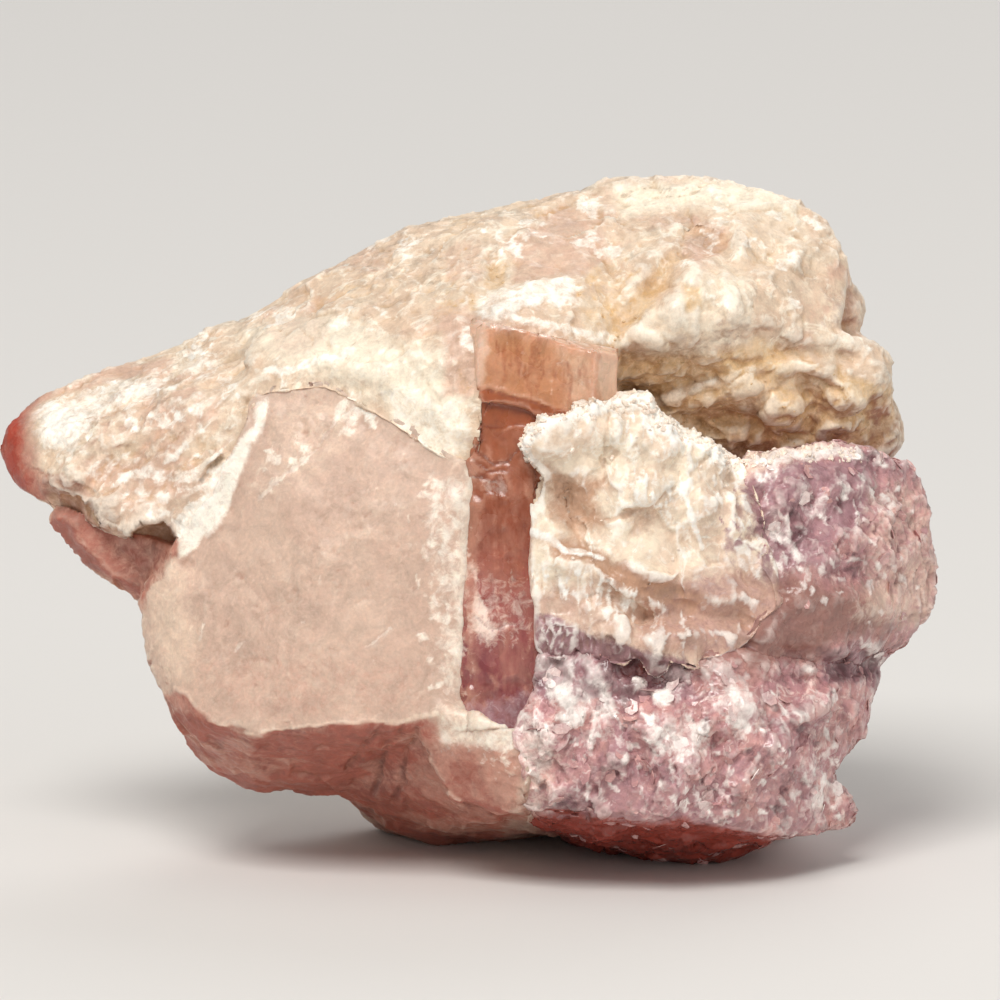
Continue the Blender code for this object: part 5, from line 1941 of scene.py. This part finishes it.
CRYSTAL_FEATURES: tuple[Feature, ...] = (
    # Painted highlight along the left side of the top block.
    Stroke(3, {WHITE_AND_GLINT: 0.4}, ((481, 330), (480, 360), (481, 387)), -0.1),
    Patch(5, {ROSE: 1}, ((598, 348), (625, 348), (625, 402), (600, 402))),
    Patch(18, {ROSE: 0.65}, ((555, 345), (600, 350), (600, 405), (570, 405))),
    Stroke(4, {WHITE_AND_GLINT: 0.95, ROSE: 1}, ((478, 321), (543, 335), (614, 347)), -0.04),
    # Painted highlight along the lower edge of the top block.
    Stroke(2, {WHITE_AND_GLINT: 0.3}, ((487, 388), (540, 398), (560, 409), (574, 410)), -0.05),
    # Painted red-brown shade in the band under the top block's step.
    Patch(1.5, {RED_AND_UNDERSHADE: 1, WHITE_AND_GLINT: -1}, ((468, 392), (487, 392), (540, 402), (576, 411), (576, 426),
         (468, 426)), 0.12),
    Patch(16, {RED_AND_UNDERSHADE: 0.25}, ((488, 336), (530, 344), (540, 398), (488, 386))),
    Flecks(1.8, {RED_AND_UNDERSHADE: 0.45}, ((490, 335), (600, 352), (600, 400), (490, 385)), 0.03, 60, (12, 40), (86, 4),
        40),
    Flecks(1.6, {WHITE_AND_GLINT: 0.4}, ((490, 335), (600, 352), (600, 400), (490, 385)), -0.03, 34, (5, 16), (60, 60),
        43),
    Patch(4, {ROSE: 1, RED_AND_UNDERSHADE: -1}, ((448, 316), (486, 320), (485, 387), (448, 392))),
    Patch(8, {RED_AND_UNDERSHADE: 0.4}, ((470, 425), (500, 420), (520, 440), (515, 470), (480, 472)), 0.2),
    Stroke(2, {WHITE_AND_GLINT: 0.45}, ((474, 448), (490, 462), (508, 462), (518, 452)), 0.15),
    Stroke(2, {WHITE_AND_GLINT: 0.35}, ((472, 458), (486, 470), (506, 471)), 0.12),
    Patch(4, {WHITE_AND_GLINT: 0.45}, ((480, 477), (502, 476), (503, 492), (484, 494)), 0.2),
    Stroke(1.3, {WHITE_AND_GLINT: 0.4}, ((462, 482), (478, 479), (495, 482)), 0.12),
    Stroke(1.4, {WHITE_AND_GLINT: 0.4}, ((470, 618), (490, 628), (515, 622)), 0.1),
    Flecks(2.2, {WHITE_AND_GLINT: 0.7}, ((455, 500), (472, 500), (474, 700), (455, 690)), -0.05, 34, (4, 16), (60, 60),
        41),
    Patch(20, {WHITE_AND_GLINT: 0.4}, ((455, 560), (535, 575), (535, 640), (458, 640))),
    Patch(14, {RED_AND_UNDERSHADE: 0.35}, ((478, 560), (520, 540), (537, 575), (500, 610))),
    Patch(14, {LILAC: 0.7, WHITE_AND_GLINT: 0.3}, ((470, 700), (540, 690), (540, 740), (460, 730))),
)


@dataclass
class TourmalineCrystal(Mineral):
    """The pink tourmaline prism, with fine lines along it.

    Args:
        foot: (across, up) of the prism's foot on the display face, in mm.
        top: (across, up) of its top.
    """

    foot: tuple[float, float] = (5.9, 13.6)
    top: tuple[float, float] = (7.7, 51.8)

    def rise(self, skin: Skin) -> Array:
        """How far up the prism each vertex is, from 0 to 1."""
        start = np.array(self.foot)
        along = np.array(self.top) - start
        return (FACE.on_face(skin.points)[:, :2] - start) @ along / (along @ along)

    def relief(self, skin: Skin, calm: Array) -> None:
        """Fine lines along the prism and a few shell-shaped chips."""
        lines = swells(drawn_out(skin.points, 87.0, 20.0), 0.9, 3, 241, 0.6) * 0.05
        low = 1.0 - ramp(self.rise(skin), 0.76, 0.82)
        chips = np.clip(swells(skin.points, 4.0, 3, 251) - 0.35, 0.0, 1.0) * 0.6 * low
        skin.push(lines - chips + swells(skin.points, 1.4, 2, 261) * (0.02 + 0.05 * low))

    def stain(self, skin: Skin) -> None:
        """Marks the height and some clouded streaks."""
        skin.marks[RISE] = np.clip(self.rise(skin), 0.0, 1.0)
        streak = ramp(swells(drawn_out(skin.points, 80.0, 2.5), 1.8, 5, 271, 0.65), 0.1, 0.7)
        height = skin.chart[:, 1]
        frosted = ramp(height, 520.0, 590.0) * (1.0 - 0.75 * ramp(height, 625.0, 660.0))
        skin.add(WHITE_AND_GLINT, (0.1 + 0.65 * frosted) * streak)


# --- floor, light and camera --------------------------------------------------------------------


@dataclass(frozen=True)
class Lamp:
    """A soft square light aimed at the specimen.

    Args:
        name: its name.
        bearing: degrees round from straight in front, positive to the right.
        height: degrees above the floor.
        distance: from the specimen, in metres.
        width: its width, in metres.
        power: in watts.
        colour: its colour.
    """

    name: str
    bearing: float
    height: float
    distance: float
    width: float
    power: float
    colour: Colour = (1.0, 1.0, 1.0)

    def hang(self, target: Vector) -> None:
        """Hangs the lamp.

        Args:
            target: what it is aimed at, in metres.
        """
        light = bpy.data.lights.new(self.name, "AREA")
        light.shape = "SQUARE"
        light.size = self.width
        light.energy = self.power
        light.color = self.colour
        lamp = new_object(self.name, light)
        bearing, height = math.radians(self.bearing), math.radians(self.height)
        away = Vector(
            (math.sin(bearing) * math.cos(height), -math.cos(bearing) * math.cos(height), math.sin(height))
        )
        lamp.location = target + away * self.distance
        lamp.rotation_euler = (-away).to_track_quat("-Z", "Y").to_euler()


@dataclass
class Studio:
    """A pale floor, soft lamps and the camera.

    Args:
        reach: half the floor's width, in metres.
        tone: the floor's colour.
        sky: the colour and strength of the light from all round.
        aim: how high above the floor the lamps are aimed, in metres.
        film: the width of the camera's film, in mm.
        lamps: the lamps.
    """

    reach: float = 6.0
    tone: Colour = (0.72, 0.71, 0.695)
    sky: tuple[Colour, float] = ((1.0, 0.985, 0.965), 0.36)
    aim: float = 0.035
    film: float = 36.0
    lamps: tuple[Lamp, ...] = (
        Lamp("Key", -20.0, 55.0, 2.0, 0.9, 32.0, (1.0, 0.97, 0.93)),
        Lamp("Fill", 46.0, 14.0, 2.0, 1.4, 8.0, (1.0, 0.96, 0.92)),
        Lamp("Back", 160.0, 40.0, 2.0, 1.2, 9.0, (1.0, 0.98, 0.96)),
    )

    def floor(self) -> None:
        """Lays the floor."""
        work = bmesh.new()
        bmesh.ops.create_grid(work, x_segments=4, y_segments=4, size=self.reach)
        floor = new_object("Floor", mesh_from(work, "Floor"))
        material = bpy.data.materials.new("Floor")
        material.use_nodes = True
        book = NodeBook(material.node_tree)
        soft = book.noise(book.place(), 2.5, 4.0) * 0.15 + 0.7
        sockets = {"Base Color": (*self.tone, 1.0), "Specular IOR Level": 0.2, "Roughness": soft}
        book.feed(material.node_tree.nodes["Principled BSDF"], sockets)
        floor.data.materials.append(material)

    def camera(self) -> None:
        """Sets the camera before the display face, so that the chart just fills its view."""
        data = bpy.data.cameras.new("Camera")
        data.sensor_width = self.film
        data.lens = self.film * FACE.sight / (2.0 * CHART_MIDDLE / CHART_SCALE)
        data.clip_start = 0.05
        data.clip_end = 30.0
        camera = new_object("Camera", data)
        axes = FACE.axes()
        turned = [[*axes[:, row], 0.0] for row in range(3)] + [[0.0, 0.0, 0.0, 1.0]]
        camera.matrix_world = Matrix(turned)
        camera.location = Vector(FACE.off_face((*FACE.aim, FACE.sight)) * MM)
        bpy.context.scene.camera = camera

    def build(self) -> None:
        """Sets up the whole studio."""
        self.floor()
        self.camera()
        for lamp in self.lamps:
            lamp.hang(Vector((0.0, 0.0, self.aim)))
        scene = bpy.context.scene
        world = bpy.data.worlds.new("Sky")
        world.use_nodes = True
        colour, strength = self.sky
        background = world.node_tree.nodes["Background"]
        background.inputs["Color"].default_value = (*colour, 1.0)
        background.inputs["Strength"].default_value = strength
        scene.world = world
        scene.view_settings.view_transform = "Standard"
        scene.view_settings.look = "None"


def main() -> None:
    """Builds the specimen mineral by mineral, then the studio round it."""
    logging.basicConfig(level=logging.INFO, format="%(message)s")
    minerals = (
        QuartzBody(
            "quartz_body", "rosy_quartz", QUARTZ_FINISH, QUARTZ_FEATURES, 0.5, 3,
            (("feldspar_cap", 1.5), ("lepidolite_mass", 1.0)), 0.12, QUARTZ_CUTS,
        ),
        FeldsparCap(
            "feldspar_cap", "cream_feldspar", CAP_FINISH, CAP_FEATURES, 0.58, 2,
            (("quartz_body", 1.6), ("tourmaline_crystal", 0.8)), 0.16, CAP_CUTS,
        ),
        AlbiteLedge(
            "albite_ledge", "white_albite", LEDGE_FINISH, LEDGE_FEATURES, 0.22, 3,
            (("lepidolite_mass", 1.2),), 0.12, LEDGE_CUTS, CRACK, finer=False,
        ),
        LepidoliteMass(
            "lepidolite_mass", "lilac_lepidolite", LEPIDOLITE_FINISH, LEPIDOLITE_FEATURES, 0.48, 2,
            (("quartz_body", 1.5), ("albite_ledge", 2.0)), 0.16, LEPIDOLITE_CUTS, CRACK,
        ),
        TourmalineCrystal(
            "tourmaline_crystal", "pink_tourmaline", CRYSTAL_FINISH, CRYSTAL_FEATURES, 0.2, 1, (), 0.06,
            finer=False, swell=0.1,
        ),
    )
    for mineral in minerals:
        pieces = mineral.build()
        LOG.info("%s: %d pieces", mineral.node, len(pieces))
    Studio().build()


if __name__ == "__main__":
    main()
